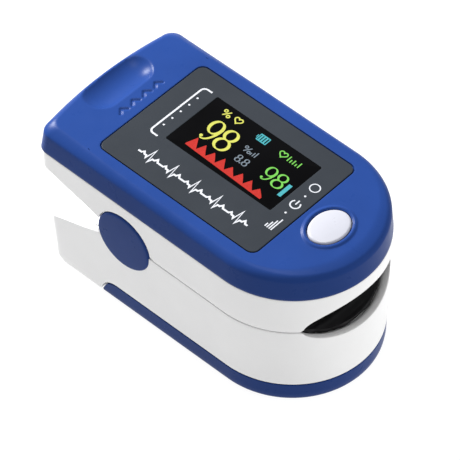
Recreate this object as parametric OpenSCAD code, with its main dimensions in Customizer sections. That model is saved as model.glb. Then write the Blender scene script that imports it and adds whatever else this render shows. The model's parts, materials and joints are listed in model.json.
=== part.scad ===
// Fingertip pulse oximeter: a two-part clamp on a rear hinge, with a screen on top, two cells below.
// Origin at the middle of the footprint, on the ground. -Y is the finger opening, +Y the press end,
// +X the right-hand side seen from the finger opening, +Z up. All sizes in millimetres.

/* [Overall] */
// Length from the finger opening to the press end
body_l = 58.8; // [57:0.1:70]
// Width across the side walls
body_w = 32.4; // [32:0.2:39]
// Height of the top face above the ground, where the hinge is
body_h = 30.6; // [30:0.2:36]
// Wall of the moulded shells
wall = 1.6; // [1.4:0.1:1.7]
// Play between parts that don't move on each other
fit_gap = 0.1; // [0.05:0.01:0.15]
// Tilt of the closed upper half, nose down, in degrees
rest_pitch = 1; // [0:0.1:1.5]

/* [Plan shape] */
// Radius of the bowed rear edge
bow_r = 82; // [60:1:160]
// Radius of the rear corners
corner_r = 2.2; // [1.8:0.1:3]
// How much shorter the lower half is at the rear
lower_setback = 0.9; // [0.6:0.1:1.6]

/* [Hinge] */
// Distance of the hinge axis in front of the rear end
hinge_back = 20.8; // [18:0.1:21]
// Height of the hinge axis above the ground
hinge_z = 17.3; // [17:0.1:18]
// Radius of the hinge pins
pin_r = 1.5; // [1.2:0.1:1.6]
// Radial play of the upper cheeks on the pins
pin_play = 0.05; // [0.02:0.01:0.08]
// Radius of the round ears that stand up from the lower shell
ear_r = 5.2; // [4.8:0.1:5.3]
// Radius of the hinge caps
cap_r = 5.7; // [5.5:0.1:5.8]
// Slope of the upper half's underside behind the hinge
upper_slope = 15; // [12:1:18]
// Slope of the lower half's deck behind the hinge
lower_slope = 20; // [18:1:22]

/* [Top cover] */
// Height of the cover
cover_h = 5; // [4.6:0.1:5.6]
// Thickness of the cover's top
cover_top_t = 1.2; // [1.1:0.1:1.4]
// Length of the display label
label_l = 33.75; // [32:0.25:36]
// Width of the display label
label_w = 24.8; // [23:0.2:26]
// Thickness of the display label
label_t = 0.45; // [0.3:0.05:0.6]
// Corner radius of the display label
label_r = 1.4; // [1:0.1:3]
// Place of the label's centre along the cover
label_y = 0.9; // [0.5:0.1:1.3]
// Length of the screen window
window_l = 22.9; // [20:0.1:24]
// Width of the screen window
window_w = 12.5; // [11:0.1:13]
// Sideways place of the window
window_x = 2.5; // [0:0.1:3]
// Distance of the window's centre in front of the label's
window_fore = 1.28; // [1:0.02:1.5]
// Width of the thumb scoop
scoop_w = 14; // [12:0.2:15]
// Length of the thumb scoop
scoop_l = 6.6; // [5:0.1:6.8]
// Depth of the thumb scoop
scoop_d = 1.1; // [0.8:0.1:1.3]

/* [Button] */
// Width of the button across the body
button_w = 8; // [6:0.2:9]
// Length of the button along the body
button_l = 6.1; // [5:0.1:6.6]
// Height of the button above the top face
button_proud = 0.5; // [0.45:0.05:0.8]
// Travel of the button
button_travel = 0.4; // [0.2:0.05:0.4]
// Distance of the button's middle from the nose
button_in = 8.5; // [8.2:0.1:8.8]
// Thickness of the flange that keeps the button in
flange_t = 0.6; // [0.4:0.05:0.7]
// Radius of the button's domed top
dome_r = 18; // [14:1:30]

/* [Finger channel] */
// Width of the finger opening
opening_w = 21.2; // [18:0.2:22]
// Height of the opening above the seam
arch_h = 4.9; // [4.6:0.1:5.5]
// Depth of the opening below the seam
lip_d = 3.1; // [2:0.1:3.2]
// Thickness of the pads' cushion at the sides
pad_t = 2.2; // [1.8:0.1:2.4]
// Distance of the finger stop in front of the hinge axis
stop_gap = 4.6; // [4.4:0.1:6]
// Distance of the light path in front of the hinge axis
sensor_gap = 17; // [14:0.5:20]

/* [Cells and door] */
// Radius of an AAA cell
cell_r = 5.25; // [5.1:0.05:5.25]
// Length of an AAA cell with its stud
cell_l = 44.5; // [43.5:0.1:44.5]
// Space between the two cells
cell_gap = 0.7; // [0.5:0.1:1]
// Height of the door's side
door_h = 3.9; // [3.6:0.1:4.4]
// Thickness of the door's floor
door_t = 1; // [0.9:0.05:1.05]
// Distance of the door's side wall from the rear end
door_back = 14.9; // [12:0.1:16]
// Running gap round the door
door_gap = 0.15; // [0.1:0.05:0.2]

/* [Inside] */
// Thickness of the main circuit board
board_t = 0.8; // [0.6:0.1:1]
// Thickness of the inner floors and decks
floor_t = 0.9; // [0.8:0.1:1]
// Radius of the screws
screw_r = 0.8; // [0.7:0.05:0.9]
// Thickness of the display module
screen_t = 1.8; // [1.4:0.1:2]

/* [Hidden] */

eps = 0.01;
half_w = body_w / 2;
nose_y = -body_l / 2;
rear_y = body_l / 2;
lower_rear_y = rear_y - lower_setback;
hinge_y = rear_y - hinge_back;
seam_rise = 0.3;
seam_z = hinge_z + seam_rise;
seam_gap = 0.12;
cover_z = body_h - cover_h;
cover_in_z = body_h - cover_top_t;
// Hinge stack, from the outside of the body inwards
cap_seat = 0.75;
ear_x = half_w - cap_seat;
ear_in_x = half_w - wall;
cheek_gap = 0.25;
cheek_x = ear_in_x - cheek_gap;
cheek_t = 1.6;
cheek_r = 3.5;
spring_room = 3.2;
inner_ear_x = cheek_x - cheek_t - spring_room;
inner_ear_t = 1.5;
inner_ear_r = 3.2;
pin_end_x = inner_ear_x - inner_ear_t - 0.2;
peg_y = 3.4;
peg_r = 0.56;
// Torsion springs: turns, coil, wire, and the lean and reach of their legs
spring_turns = 4;
spring_r = max(2.4, pin_r + 0.6);
spring_w = 2.5;
wire_r = 0.28;
spring_reach = 6.1;
spring_lean = 58;
leave_a = spring_lean - acos(spring_r / spring_reach);
// Upper half
floor_z = seam_z + arch_h + 0.6;
floor_top_z = floor_z + floor_t;
wall_back_y = hinge_y + cheek_r + 0.1;
button_y = nose_y + button_in;
window_y = label_y - window_fore;
window_play = 0.4;
scoop_y = rear_y - 4.25;
scoop_r = (pow(scoop_l / 2, 2) + pow(scoop_d, 2)) / (2 * scoop_d);
chevron_pitch = 2.7;
chevron_y = (label_y + label_l / 2 + scoop_y - scoop_l / 2) / 2;
collar_w = 1.1;
collar_h = 0.25;
board_gap = 0.1;
board_top_z = cover_in_z - screen_t - 2 * board_gap;
board_z = board_top_z - board_t;
// The switch fills what the button's travel leaves under its flange
switch_h = cover_in_z - 0.05 - flange_t - button_travel - 0.05 - board_top_z;
switch_floor_t = 0.1;
plunger_z = board_top_z + switch_floor_t + button_travel + 0.05;
button_stem_z = board_top_z + switch_h + 0.3;
stem_r = 1;
screw_pilot_r = screw_r - 0.1;
boss_r = screw_r + 1;
head_r = screw_r + 0.7;
head_t = 0.7;
nose_screw = [9, nose_y + 8.4];
rear_screw = [11.2, rear_y - 7];
emit_y = hinge_y - sensor_gap;
stop_y = hinge_y - stop_gap;
channel_hw = opening_w / 2 - 0.6;
channel_up = arch_h - 1.1;
stop_t = 1.3;
pad_rim_t = 0.8;
light_r = 3;
// Cover outline at each height: [z, narrower by, nose in by, rear in by, corner radius]
cover_levels = [
    [cover_z, 0, 0, 0, corner_r],
    [body_h - 1.1, 0.55, 0.5, 0.5, 2.2],
    [body_h - 0.45, 1.05, 1, 0.95, 2.2],
    [body_h - eps, 1.9, 2, 1.8, 2.3]];
// Places of the parts under the main board
controller_at = [-5.5, nose_y + 18];
amplifier_at = [5.5, nose_y + 16.5];
crystal_at = [5, nose_y + 25];
capacitors_at = [
    for (y = [29, 32]) [-9.5, nose_y + y],
    for (y = [21, 24]) [9.5, nose_y + y],
    for (x = [-6.5, -3]) [x, hinge_y + 6.5]];
socket_y = hinge_y - 4.6;
board_screw = [11, window_y - window_l / 2 - 5];
// Lower half: outline at each height, as for the cover
lower_levels = [
    [0, 0.9, 0.4, 2.1, corner_r],
    [0.6, 0.6, 0.1, 1.3, corner_r],
    [1.4, 0.55, 0, 1, corner_r],
    [seam_z + 2, 0, 0, 0, corner_r]];
lip_z = seam_z - 0.6;
cell_x = cell_r + cell_gap / 2;
contact_t = 0.3;
contact_w = 7;
cell_z = door_t + door_gap + cell_r;
deck_z = cell_z + cell_r + 0.75;
deck_top_z = deck_z + floor_t;
pad_low_z = deck_top_z + 0.95;
skirt_in = wall - 0.3 + door_gap;
door_y = rear_y - door_back;
door_corner_r = 3.7;
rail_z = door_h - 1.55;
rail_t = 0.8;
rail_end_y = door_y - door_corner_r;
bay_hw = 2 * cell_r + cell_gap / 2 + 0.25;
bay_nose_y = nose_y + 6.3;
bay_play = 2.27;
bay_rear_y = bay_nose_y + cell_l + bay_play;
tongue_hw = bay_hw + 1.2;
tongue_y = bay_rear_y - 0.4;
// The cell whose stud points to the nose sits further forward than the other
bridge_gap = 0.55;
stud_gap = 0.45;
stud_l = 1;
cell_left_y = bay_nose_y + bridge_gap;
cell_right_y = bay_rear_y - stud_gap - cell_l;
deck_boss_r = screw_r + 0.9;
deck_screw = [half_w - wall - fit_gap - deck_boss_r - 0.05, hinge_y - 17];
// Thumb grooves under the door
grip_w = 13;
grip_pitch = 2;
grip_y = nose_y + 15;
// Flat cable from the detector, past the hinge, to the socket under the main board; [y, z] by hand
cable_route = [
    [emit_y + 4.6, deck_z - 0.3], [hinge_y - 8, deck_z - 0.3], [hinge_y - 4.6, deck_z - 0.2],
    [hinge_y - 2.7, deck_z + 0.6], [hinge_y - 2, deck_z + 2.4], [hinge_y - 1.7, hinge_z],
    [hinge_y - 1.8, floor_z - 2], [hinge_y - 2, floor_z], [hinge_y - 2.2, floor_top_z]];
// Leads from the cells' rear contacts, over the cells and up past the hinge
lead_route = [
    [bay_rear_y - 0.7, cell_z + 2.8], [bay_rear_y - 1, cell_z + 3.6], [bay_rear_y - 2, cell_z + 4.1],
    [hinge_y + 7, cell_z + 4.3], [hinge_y + 3.8, cell_z + 5.6], [hinge_y + 1.8, deck_top_z + 1],
    [hinge_y + 0.8, hinge_z], [hinge_y + 0.4, floor_z - 2], [hinge_y - 0.6, floor_top_z]];

// ---- Plan outlines and lofts ----------------------------------------------------------------

// Closed outline: round nose, straight sides, small rear corners and a bowed rear edge
function outline(hw, nose, rear, rc, inset = 0) =
    let (w = hw - inset, r = max(rc - inset, 0.4), cx = w - r,
         cy = rear - inset - cx * cx / (2 * bow_r) - r, n = 36, m = 6)
    concat(
        [for (i = [0:n]) let (a = 180 + 180 * i / n) [w * cos(a), nose + hw + w * sin(a)]],
        [for (i = [0:m]) let (a = 90 * i / m) [cx + r * cos(a), cy + r * sin(a)]],
        [for (i = [1:m]) let (x = cx - 2 * cx * i / (m + 1)) [x, rear - inset - x * x / (2 * bow_r)]],
        [for (i = [0:m]) let (a = 90 + 90 * i / m) [-cx + r * cos(a), cy + r * sin(a)]]);

// Hull through outlines; a level is [z, narrower by, nose in by, rear in by, corner radius]
module loft(levels, rear, inset = 0)
    hull()
        for (l = levels)
            translate([0, 0, l[0]])
                linear_extrude(eps)
                    polygon(outline(half_w - l[1], nose_y + l[2], rear - l[3], l[4], inset));

module prism(z0, z1, rear, inset)
    translate([0, 0, z0])
        linear_extrude(z1 - z0)
            polygon(outline(half_w, nose_y, rear, corner_r, inset));

module ellipse(a, b)
    polygon([for (i = [0:47]) [a * cos(7.5 * i), b * sin(7.5 * i)]]);

module rounded_rect(l, w, r, t)
    linear_extrude(t)
        union() {
            square([w - 2 * r, l], center = true);
            square([w, l - 2 * r], center = true);
            for (x = [-1, 1], y = [-1, 1])
                translate([x * (w / 2 - r), y * (l / 2 - r)]) circle(r, $fn = 32);
        }

// Block centred on x and y, standing on z
module block(size, at)
    translate([at[0] - size[0] / 2, at[1] - size[1] / 2, at[2]]) cube(size);

module disc(r, h, at) translate(at) cylinder(r = r, h = h, $fn = 48);

// Cylinder along X that starts at x = from, centred on the hinge axis
module axle(r, from, to, y = 0, z = 0)
    translate([from, hinge_y + y, hinge_z + z]) rotate([0, 90, 0]) cylinder(r = r, h = to - from, $fn = 64);

module on_side(side) mirror([side < 0 ? 1 : 0, 0, 0]) children();

// The closed upper half leans about the hinge by its rest pitch
module pitched()
    translate([0, hinge_y, hinge_z])
        rotate([rest_pitch, 0, 0])
            translate([0, -hinge_y, -hinge_z])
                children();

// Half space below (dir = -1) or above (dir = 1) a plane through the hinge axis, behind it
module wedge_cut(angle, dir, lift = 0)
    translate([0, hinge_y, hinge_z]) rotate([angle, 0, 0])
        translate([-body_w, -body_l, dir < 0 ? lift - body_l : lift]) cube([2 * body_w, 2 * body_l, body_l]);

// Elliptical passage along Y with different heights above and below its middle
module passage(hw, up, down, z, from, to)
    translate([0, to, z]) rotate([90, 0, 0])
        linear_extrude(to - from)
            polygon([for (i = [0:63]) let (a = 5.625 * i) [hw * cos(a), (a < 180 ? up : down) * sin(a)]]);

// Sweep of a closed profile [across X, in plane] along a path that doesn't run along X
module sweep(path, profile) {
    n = len(path);
    m = len(profile);
    function unit(v) = v / norm(v);
    function tangent(i) = unit(path[min(i + 1, n - 1)] - path[max(i - 1, 0)]);
    rings = [for (i = [0:n - 1]) let (t = tangent(i), u = unit(cross([1, 0, 0], t)), b = cross(t, u))
        for (p = profile) path[i] - b * p[0] + u * p[1]];
    sides = [for (i = [0:n - 2], j = [0:m - 1]) let (k = (j + 1) % m)
        [i * m + j, i * m + k, (i + 1) * m + k, (i + 1) * m + j]];
    polyhedron(rings, concat([[for (j = [m - 1:-1:0]) j]], sides, [[for (j = [0:m - 1]) (n - 1) * m + j]]));
}

function ring_profile(r, n = 8) = [for (i = [0:n - 1]) [r * cos(360 * i / n), r * sin(360 * i / n)]];

// ---- Upper half -----------------------------------------------------------------------------

// Trough across the press end, with round ends
module scoop(grow = 0)
    translate([0, scoop_y, body_h + scoop_r - scoop_d])
        union() {
            for (side = [-1, 1])
                translate([side * (scoop_w - scoop_l) / 2, 0, 0]) sphere(scoop_r + grow, $fn = 96);
            rotate([0, 90, 0]) cylinder(r = scoop_r + grow, h = scoop_w - scoop_l, center = true, $fn = 96);
        }

module chevron()
    polygon([[-1.1, -0.6], [0, 0.2], [1.1, -0.6], [1.1, -0.1], [0, 0.7], [-1.1, -0.1]]);

module top_cover() color("royalblue") pitched()
    difference() {
        union() {
            difference() {
                union() {
                    loft(cover_levels, rear_y);
                    translate([0, button_y, body_h - 0.5])
                        linear_extrude(0.5 + collar_h)
                            ellipse(button_w / 2 + collar_w, button_l / 2 + collar_w);
                }
                difference() {
                    loft([[cover_z - 1, 0, 0, 0, corner_r], [cover_in_z, 0.8, 0.8, 0.8, 2.6]], rear_y, wall);
                    scoop(wall - 0.3);
                }
            }
            for (s = [nose_screw, rear_screw], side = [-1, 1])
                disc(boss_r, cover_in_z - floor_top_z + 0.3, [side * s[0], s[1], floor_top_z]);
        }
        scoop();
        // Seat of the label, the screen window and the hole of the button
        translate([0, label_y, body_h - label_t]) rounded_rect(label_l + 0.2, label_w + 0.2, label_r, 2);
        block([window_w + 2 * window_play, window_l + 2 * window_play, 3], [window_x, window_y, body_h - 2]);
        translate([0, button_y, body_h - 3])
            linear_extrude(4) ellipse(button_w / 2 + door_gap, button_l / 2 + door_gap);
        for (s = [nose_screw, rear_screw], side = [-1, 1])
            disc(screw_pilot_r, 4.2, [side * s[0], s[1], floor_top_z - eps]);
        for (i = [-1.5:1.5])
            translate([chevron_pitch * i, chevron_y, body_h - 0.2])
                linear_extrude(1) chevron();
    }

module display_lens() color("dimgray") pitched()
    translate([0, label_y, body_h - label_t])
        rounded_rect(label_l, label_w, label_r, label_t - 0.02);

module display_module() color("black") pitched()
    difference() {
        union() {
            block([window_w + 3, window_l + 5, screen_t], [window_x, window_y, board_top_z + board_gap]);
            // Raised glass that fills the window in the cover
            block([window_w + 0.5, window_l + 0.5, cover_top_t - label_t - 0.05],
                [window_x, window_y, cover_in_z - board_gap]);
        }
        block([2, 4, 3], [window_x, window_y - window_l / 2 - 3.2, board_z]);
    }

module main_board() color("darkgreen") pitched()
    difference() {
        prism(board_z, board_z + board_t, rear_y - 1, wall + 1.2);
        for (s = [nose_screw, rear_screw], side = [-1, 1])
            disc(boss_r + 0.2, 3, [side * s[0], s[1], board_z - 1]);
        for (side = [-1, 1])
            disc(screw_r + 0.2, 3, [side * board_screw[0], board_screw[1], board_z - 1]);
    }

module chip(l, w, h, at) color("black") pitched()
    union() {
        block([w, l, h - 0.15], [at[0], at[1], board_z - h]);
        for (i = [-3:3], side = [-1, 1])
            block([0.7, 0.3, 0.25], [at[0] + side * (w / 2 + 0.2), at[1] + i * l / 8, board_z - 0.25]);
    }

module controller_chip() chip(7, 7, 1.2, controller_at);
module amplifier_chip() chip(5, 4, 1.1, amplifier_at);

module crystal_can() color("silver") pitched()
    translate([crystal_at[0], crystal_at[1], board_z - 1.1])
        linear_extrude(1.1)
            union() {
                square([2.6, 2], center = true);
                for (side = [-1, 1]) translate([side * 1.3, 0]) circle(1, $fn = 24);
            }

module board_capacitors() color("peru") pitched()
    for (at = capacitors_at)
        block([1.2, 2, 0.9], [at[0], at[1], board_z - 0.9]);

module cable_socket() color("ivory") pitched()
    difference() {
        block([9, 3.6, 1.5], [0, socket_y, board_z - 1.5]);
        block([6.6, 3.6, 0.5], [0, socket_y + 1, board_z - 1.1]);
    }

// Domed screw standing on its tip: shank up from z, head below it
module screw(at, length)
    union() {
        disc(screw_r - 0.12, length, [at[0], at[1], at[2] - eps]);
        disc(head_r - 0.1, head_t - 0.1, [at[0], at[1], at[2] - head_t + 0.1]);
    }

module board_screws() color("silver") pitched()
    for (side = [-1, 1])
        screw([side * board_screw[0], board_screw[1], board_z], board_t + 1.4);

module switch_body() color("darkslategray") pitched()
    difference() {
        block([5, 5, switch_h], [0, button_y, board_top_z]);
        disc(stem_r + 0.1, 2, [0, button_y, board_top_z + switch_floor_t]);
    }

module switch_plunger() color("black") pitched()
    disc(stem_r, button_stem_z - plunger_z, [0, button_y, plunger_z]);

module power_button() color("white") pitched()
    translate([0, button_y, 0])
        union() {
            // Domed cap
            intersection() {
                translate([0, 0, cover_in_z - 0.1])
                    linear_extrude(cover_top_t + 0.1 + button_proud) ellipse(button_w / 2, button_l / 2);
                translate([0, 0, body_h + button_proud - dome_r]) sphere(dome_r, $fn = 128);
            }
            // Flange that keeps the button under the cover, and the stem on the switch
            translate([0, 0, cover_in_z - 0.05 - flange_t])
                linear_extrude(flange_t) ellipse(button_w / 2 + 0.6, button_l / 2 + 0.6);
            translate([0, 0, button_stem_z]) cylinder(r = stem_r, h = cover_in_z - button_stem_z, $fn = 32);
        }

module upper_frame() color("whitesmoke") pitched()
    difference() {
        union() {
            difference() {
                loft([[seam_z + seam_gap, 0.1, 0.1, 0.3, corner_r], [cover_z - eps, 0, 0, 0.1, corner_r]],
                    rear_y);
                // Electronics bay above, finger and hinge bay below
                difference() {
                    prism(floor_top_z, cover_z + 1, rear_y - 0.1, wall);
                    wedge_cut(upper_slope, -1, floor_t);
                }
                intersection() {
                    prism(seam_z - 1, floor_z, rear_y - 0.1, wall);
                    translate([-body_w, nose_y - 1, 0]) cube([2 * body_w, wall_back_y - nose_y + 1, body_h]);
                }
                difference() {
                    prism(seam_z - 1, floor_top_z + 1, rear_y - 0.1, wall);
                    translate([-body_w, nose_y - 1, 0])
                        cube([2 * body_w, wall_back_y + floor_t - nose_y + 1, body_h]);
                    wedge_cut(upper_slope, -1, floor_t);
                }
            }
            // Seats of the rear screws, rising from the sloping underside
            for (side = [-1, 1])
                disc(boss_r + 0.8, 5, [side * rear_screw[0], rear_screw[1], floor_top_z - 5]);
            // Hinge cheeks
            for (side = [-1, 1]) on_side(side) {
                axle(cheek_r, cheek_x - cheek_t, cheek_x);
                translate([cheek_x - cheek_t, hinge_y - cheek_r, hinge_z])
                    cube([cheek_t, 2 * cheek_r, floor_z - hinge_z + eps]);
            }
        }
        wedge_cut(upper_slope, -1);
        // Arch of the finger opening
        passage(opening_w / 2, arch_h, arch_h, seam_z, nose_y - 1, nose_y + 12);
        for (side = [-1, 1]) on_side(side) {
            axle(pin_r + pin_play, cheek_x - cheek_t - 1, cheek_x + 0.1);
            axle(ear_r + 0.25, ear_in_x - 0.05, half_w + 2);
            axle(cap_r + 0.15, ear_x, half_w + 2);
        }
        for (s = [nose_screw, rear_screw], side = [-1, 1]) {
            disc(screw_r + 0.1, 8, [side * s[0], s[1], floor_z - 1]);
            disc(head_r, floor_z - 0.2, [side * s[0], s[1], s == nose_screw ? 0 : 0.35]);
        }
        block([7, 9, 3], [0, emit_y, floor_z - 1]);
        block([7, 5, 3], [0, hinge_y - 0.8, floor_z - 1]);
    }

module upper_pad() color("#202022") pitched()
    difference() {
        intersection() {
            union() {
                passage(channel_hw + pad_t, floor_z - 0.05 - seam_z, 0.001, seam_z, nose_y, stop_y);
                translate([-half_w, nose_y, seam_z + 0.25]) cube([body_w, stop_y - nose_y, pad_rim_t]);
            }
            prism(seam_z + 0.25, floor_z - 0.05, rear_y, wall + fit_gap);
        }
        passage(channel_hw, channel_up, channel_up, seam_z, nose_y - 1, stop_y - stop_t);
        disc(light_r, 6, [0, emit_y, seam_z + 1]);
        for (side = [-1, 1])
            disc(head_r + 0.1, 6, [side * nose_screw[0], nose_screw[1], seam_z + 1]);
    }

module emitter_board() color("darkgreen") pitched()
    block([6.6, 8.6, 0.6], [0, emit_y, floor_top_z - 0.6]);

module emitter_led() color("lightyellow") pitched()
    block([3.4, 3, 0.8], [0, emit_y, floor_top_z - 1.4]);

module emitter_window() color("lightblue") pitched()
    disc(light_r - 0.05, floor_top_z - 1.45 - seam_z - channel_up, [0, emit_y, seam_z + channel_up]);

module cover_screws() color("silver") pitched()
    for (s = [nose_screw, rear_screw], side = [-1, 1])
        screw([side * s[0], s[1], s == nose_screw ? floor_z - 0.2 : floor_z + 0.15], 4.6);

// ---- Lower half -----------------------------------------------------------------------------

// Space of the battery door: the nose part over the full width, and a tongue behind it
module door_space(gap) {
    difference() {
        translate([-body_w, nose_y - 2, -2]) cube([2 * body_w, door_y + gap - nose_y + 2, door_h + gap + 2]);
        // Rounded upper rear corner
        difference() {
            translate([-2 * body_w, door_y + gap - door_corner_r, door_h + gap - door_corner_r])
                cube([4 * body_w, door_corner_r + 1, door_corner_r + 1]);
            translate([-2 * body_w, door_y + gap - door_corner_r, door_h + gap - door_corner_r])
                rotate([0, 90, 0]) cylinder(r = door_corner_r, h = 4 * body_w, $fn = 64);
        }
    }
    translate([-tongue_hw - gap, -eps, -2])
        cube([2 * (tongue_hw + gap), tongue_y + gap + eps, 2 + door_t + gap]);
}

// Room for the two cans, with play round them and at their ends
module cell_space(grow)
    for (c = [[-cell_x, cell_left_y + stud_l], [cell_x, cell_right_y]])
        translate([c[0], c[1] - 0.1, cell_z]) rotate([-90, 0, 0])
            cylinder(r = cell_r + grow, h = cell_l - stud_l + 0.2, $fn = 96);

module lower_shell() color("whitesmoke")
    difference() {
        union() {
            difference() {
                loft(lower_levels, lower_rear_y);
                door_space(0);
                prism(door_t + 0.4, body_h, lower_rear_y, wall);
                pitched() translate([-body_w, -body_l, seam_z - seam_gap])
                    cube([2 * body_w, 2 * body_l, body_h]);
                wedge_cut(-lower_slope, 1);
            }
            // Skirt that the door's side wall slides along
            difference() {
                prism(door_t + door_gap, door_h + 0.6, lower_rear_y, skirt_in);
                prism(0, door_h + 1, lower_rear_y, skirt_in + 1.2);
                translate([-body_w, door_y + 1, 0]) cube([2 * body_w, body_l, body_h]);
            }
            // Bulkheads that hold the contacts, and the screw bosses of the deck
            intersection() {
                union() {
                    translate([-half_w, bay_nose_y - 1.1, door_t + door_gap])
                        cube([body_w, 1.1, deck_z - 0.1 - door_t - door_gap]);
                    translate([-half_w, bay_rear_y, door_t])
                        cube([body_w, 1.1, cell_z + 3.5 - door_t]);
                }
                prism(0, body_h, lower_rear_y, wall - 0.2);
            }
            intersection() {
                for (side = [-1, 1])
                    disc(deck_boss_r + 0.3, deck_z - 0.9 - door_h,
                        [side * deck_screw[0], deck_screw[1], door_h]);
                difference() {
                    prism(0, body_h, lower_rear_y, wall - 0.2);
                    cell_space(0.15);
                }
            }
            for (side = [-1, 1]) on_side(side) axle(ear_r, ear_in_x, half_w - 0.1);
        }
        // Opening that the cells go in by
        translate([-bay_hw, bay_nose_y, -1]) cube([2 * bay_hw, bay_rear_y - bay_nose_y, 4]);
        // Groove in the skirt for the door's rails
        for (side = [-1, 1]) on_side(side)
            translate([half_w - skirt_in - 0.6, nose_y + half_w - 6, rail_z - door_gap])
                cube([3, rail_end_y + 0.3 - nose_y - half_w + 6, rail_t + 2 * door_gap]);
        passage(opening_w / 2, lip_d, lip_d, lip_z, nose_y - 1, nose_y + 8);
        for (side = [-1, 1]) on_side(side) {
            axle(pin_r + 0.01, ear_in_x - 0.3, ear_x + 0.1);
            axle(cap_r + 0.15, ear_x, half_w + 2);
            for (y = [-peg_y, peg_y]) axle(peg_r + 0.01, ear_in_x + 0.2, ear_x + 0.1, y);
        }
        for (side = [-1, 1])
            disc(screw_pilot_r, 5, [side * deck_screw[0], deck_screw[1], deck_z - 5.5]);
    }

module lower_deck() color("gainsboro")
    difference() {
        union() {
            intersection() {
                prism(deck_z, deck_top_z, lower_rear_y, wall + fit_gap);
                translate([-half_w, nose_y, 0]) cube([body_w, wall_back_y + 1 - nose_y, body_h]);
            }
            // Ramp behind the hinge
            difference() {
                intersection() {
                    prism(cell_z + 3.6, seam_z, lower_rear_y, wall + fit_gap);
                    translate([-half_w, wall_back_y, 0]) cube([body_w, body_l, body_h]);
                }
                wedge_cut(-lower_slope, 1, -0.12);
                difference() {
                    prism(cell_z + 2, seam_z, lower_rear_y, wall + fit_gap + 0.8);
                    wedge_cut(-lower_slope, 1, -0.12 - floor_t);
                    translate([-body_w, -body_l, 0]) cube([2 * body_w, body_l + wall_back_y + 0.8, body_h]);
                }
            }
            for (side = [-1, 1]) {
                disc(deck_boss_r, 0.8 + eps, [side * deck_screw[0], deck_screw[1], deck_z - 0.8]);
                on_side(side) {
                    axle(inner_ear_r, inner_ear_x - inner_ear_t, inner_ear_x);
                    translate([inner_ear_x - inner_ear_t, hinge_y - inner_ear_r, deck_z])
                        cube([inner_ear_t, 2 * inner_ear_r, hinge_z - deck_z]);
                }
            }
        }
        cell_space(0.12);
        for (side = [-1, 1]) {
            disc(screw_r + 0.05, 4, [side * deck_screw[0], deck_screw[1], deck_z - 2]);
            disc(head_r, 2, [side * deck_screw[0], deck_screw[1], deck_top_z - head_t]);
            on_side(side) axle(pin_r + 0.01, inner_ear_x - inner_ear_t - 1, inner_ear_x + 1);
        }
        block([4.4, 4.4, 4], [0, emit_y, deck_z - 1]);
        // Slots for the flat cable and for the cell leads
        block([6, 4, 4], [0, hinge_y - 3.2, deck_z - 1]);
        block([4, 3, 3], [0, wall_back_y, deck_z - 1]);
    }

module lower_pad() color("#202022")
    difference() {
        intersection() {
            union() {
                passage(channel_hw + pad_t, 0.5, lip_z - deck_top_z, lip_z, nose_y, stop_y);
                translate([-half_w, nose_y, seam_z - 1.7]) cube([body_w, stop_y - nose_y, pad_rim_t]);
            }
            prism(deck_top_z, seam_z, rear_y, wall + fit_gap);
            pitched() translate([-body_w, -body_l, 0]) cube([2 * body_w, 2 * body_l, seam_z - 0.3]);
        }
        passage(channel_hw, 4, lip_z - pad_low_z, lip_z, nose_y - 1, stop_y - stop_t);
        disc(light_r, 3, [0, emit_y, deck_top_z - 1]);
    }

module detector_board() color("darkgreen")
    block([8, 9, 0.5], [0, emit_y, deck_z - 0.55]);

module photodiode() color("#303038")
    block([4, 4, floor_t + 0.05], [0, emit_y, deck_z - 0.05]);

module detector_window() color("lightblue")
    disc(light_r - 0.05, pad_low_z - deck_top_z - 0.05, [0, emit_y, deck_top_z + 0.02]);

module deck_screws() color("silver")
    for (side = [-1, 1])
        translate([side * deck_screw[0], deck_screw[1], deck_top_z - head_t])
            union() {
                cylinder(r = head_r - 0.1, h = head_t - 0.1, $fn = 48);
                translate([0, 0, -4]) cylinder(r = screw_r - 0.12, h = 4 + eps, $fn = 48);
            }

// Cell with its can, its crimped shoulders and its stud; flip turns the stud to the rear
module cell(x, y, flip)
    translate([x, y + (flip ? 0 : cell_l), cell_z]) rotate([flip ? -90 : 90, 0, 0])
        rotate_extrude($fn = 96)
            polygon([[0, 0], [cell_r - 0.5, 0], [cell_r, 0.4], [cell_r, cell_l - 1.5],
                [cell_r - 0.5, cell_l - stud_l], [1.9, cell_l - stud_l], [1.9, cell_l], [0, cell_l]]);

module battery_left() color("seagreen") cell(-cell_x, cell_left_y, false);
module battery_right() color("seagreen") cell(cell_x, cell_right_y, true);

// Coil spring pressed nearly flat: a stack of stepped rings
module contact_coil(x, y, length, dir)
    translate([x, y, cell_z]) rotate([-90 * dir, 0, 0])
        rotate_extrude($fn = 48)
            polygon([[2.6, 0], [3.6, 0], [2.6, length], [1.6, length]]);

// Bent-over plate of one cell contact, flat against an end wall
module contact_plate(x, w, y)
    translate([x - w / 2, y, cell_z - 3.6]) cube([w, contact_t, 7.2]);

module battery_bridge() color("silver")
    union() {
        contact_plate(0, 2 * cell_x + contact_w, bay_nose_y);
        contact_coil(cell_x, bay_nose_y + contact_t - eps, cell_right_y - bay_nose_y - contact_t, 1);
    }

module battery_spring() color("silver")
    union() {
        contact_plate(-cell_x, contact_w, bay_rear_y - contact_t);
        contact_coil(-cell_x, bay_rear_y - contact_t + eps,
            bay_rear_y - contact_t - cell_left_y - cell_l, -1);
    }

module battery_plate() color("silver") contact_plate(cell_x, contact_w, bay_rear_y - contact_t);

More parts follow.
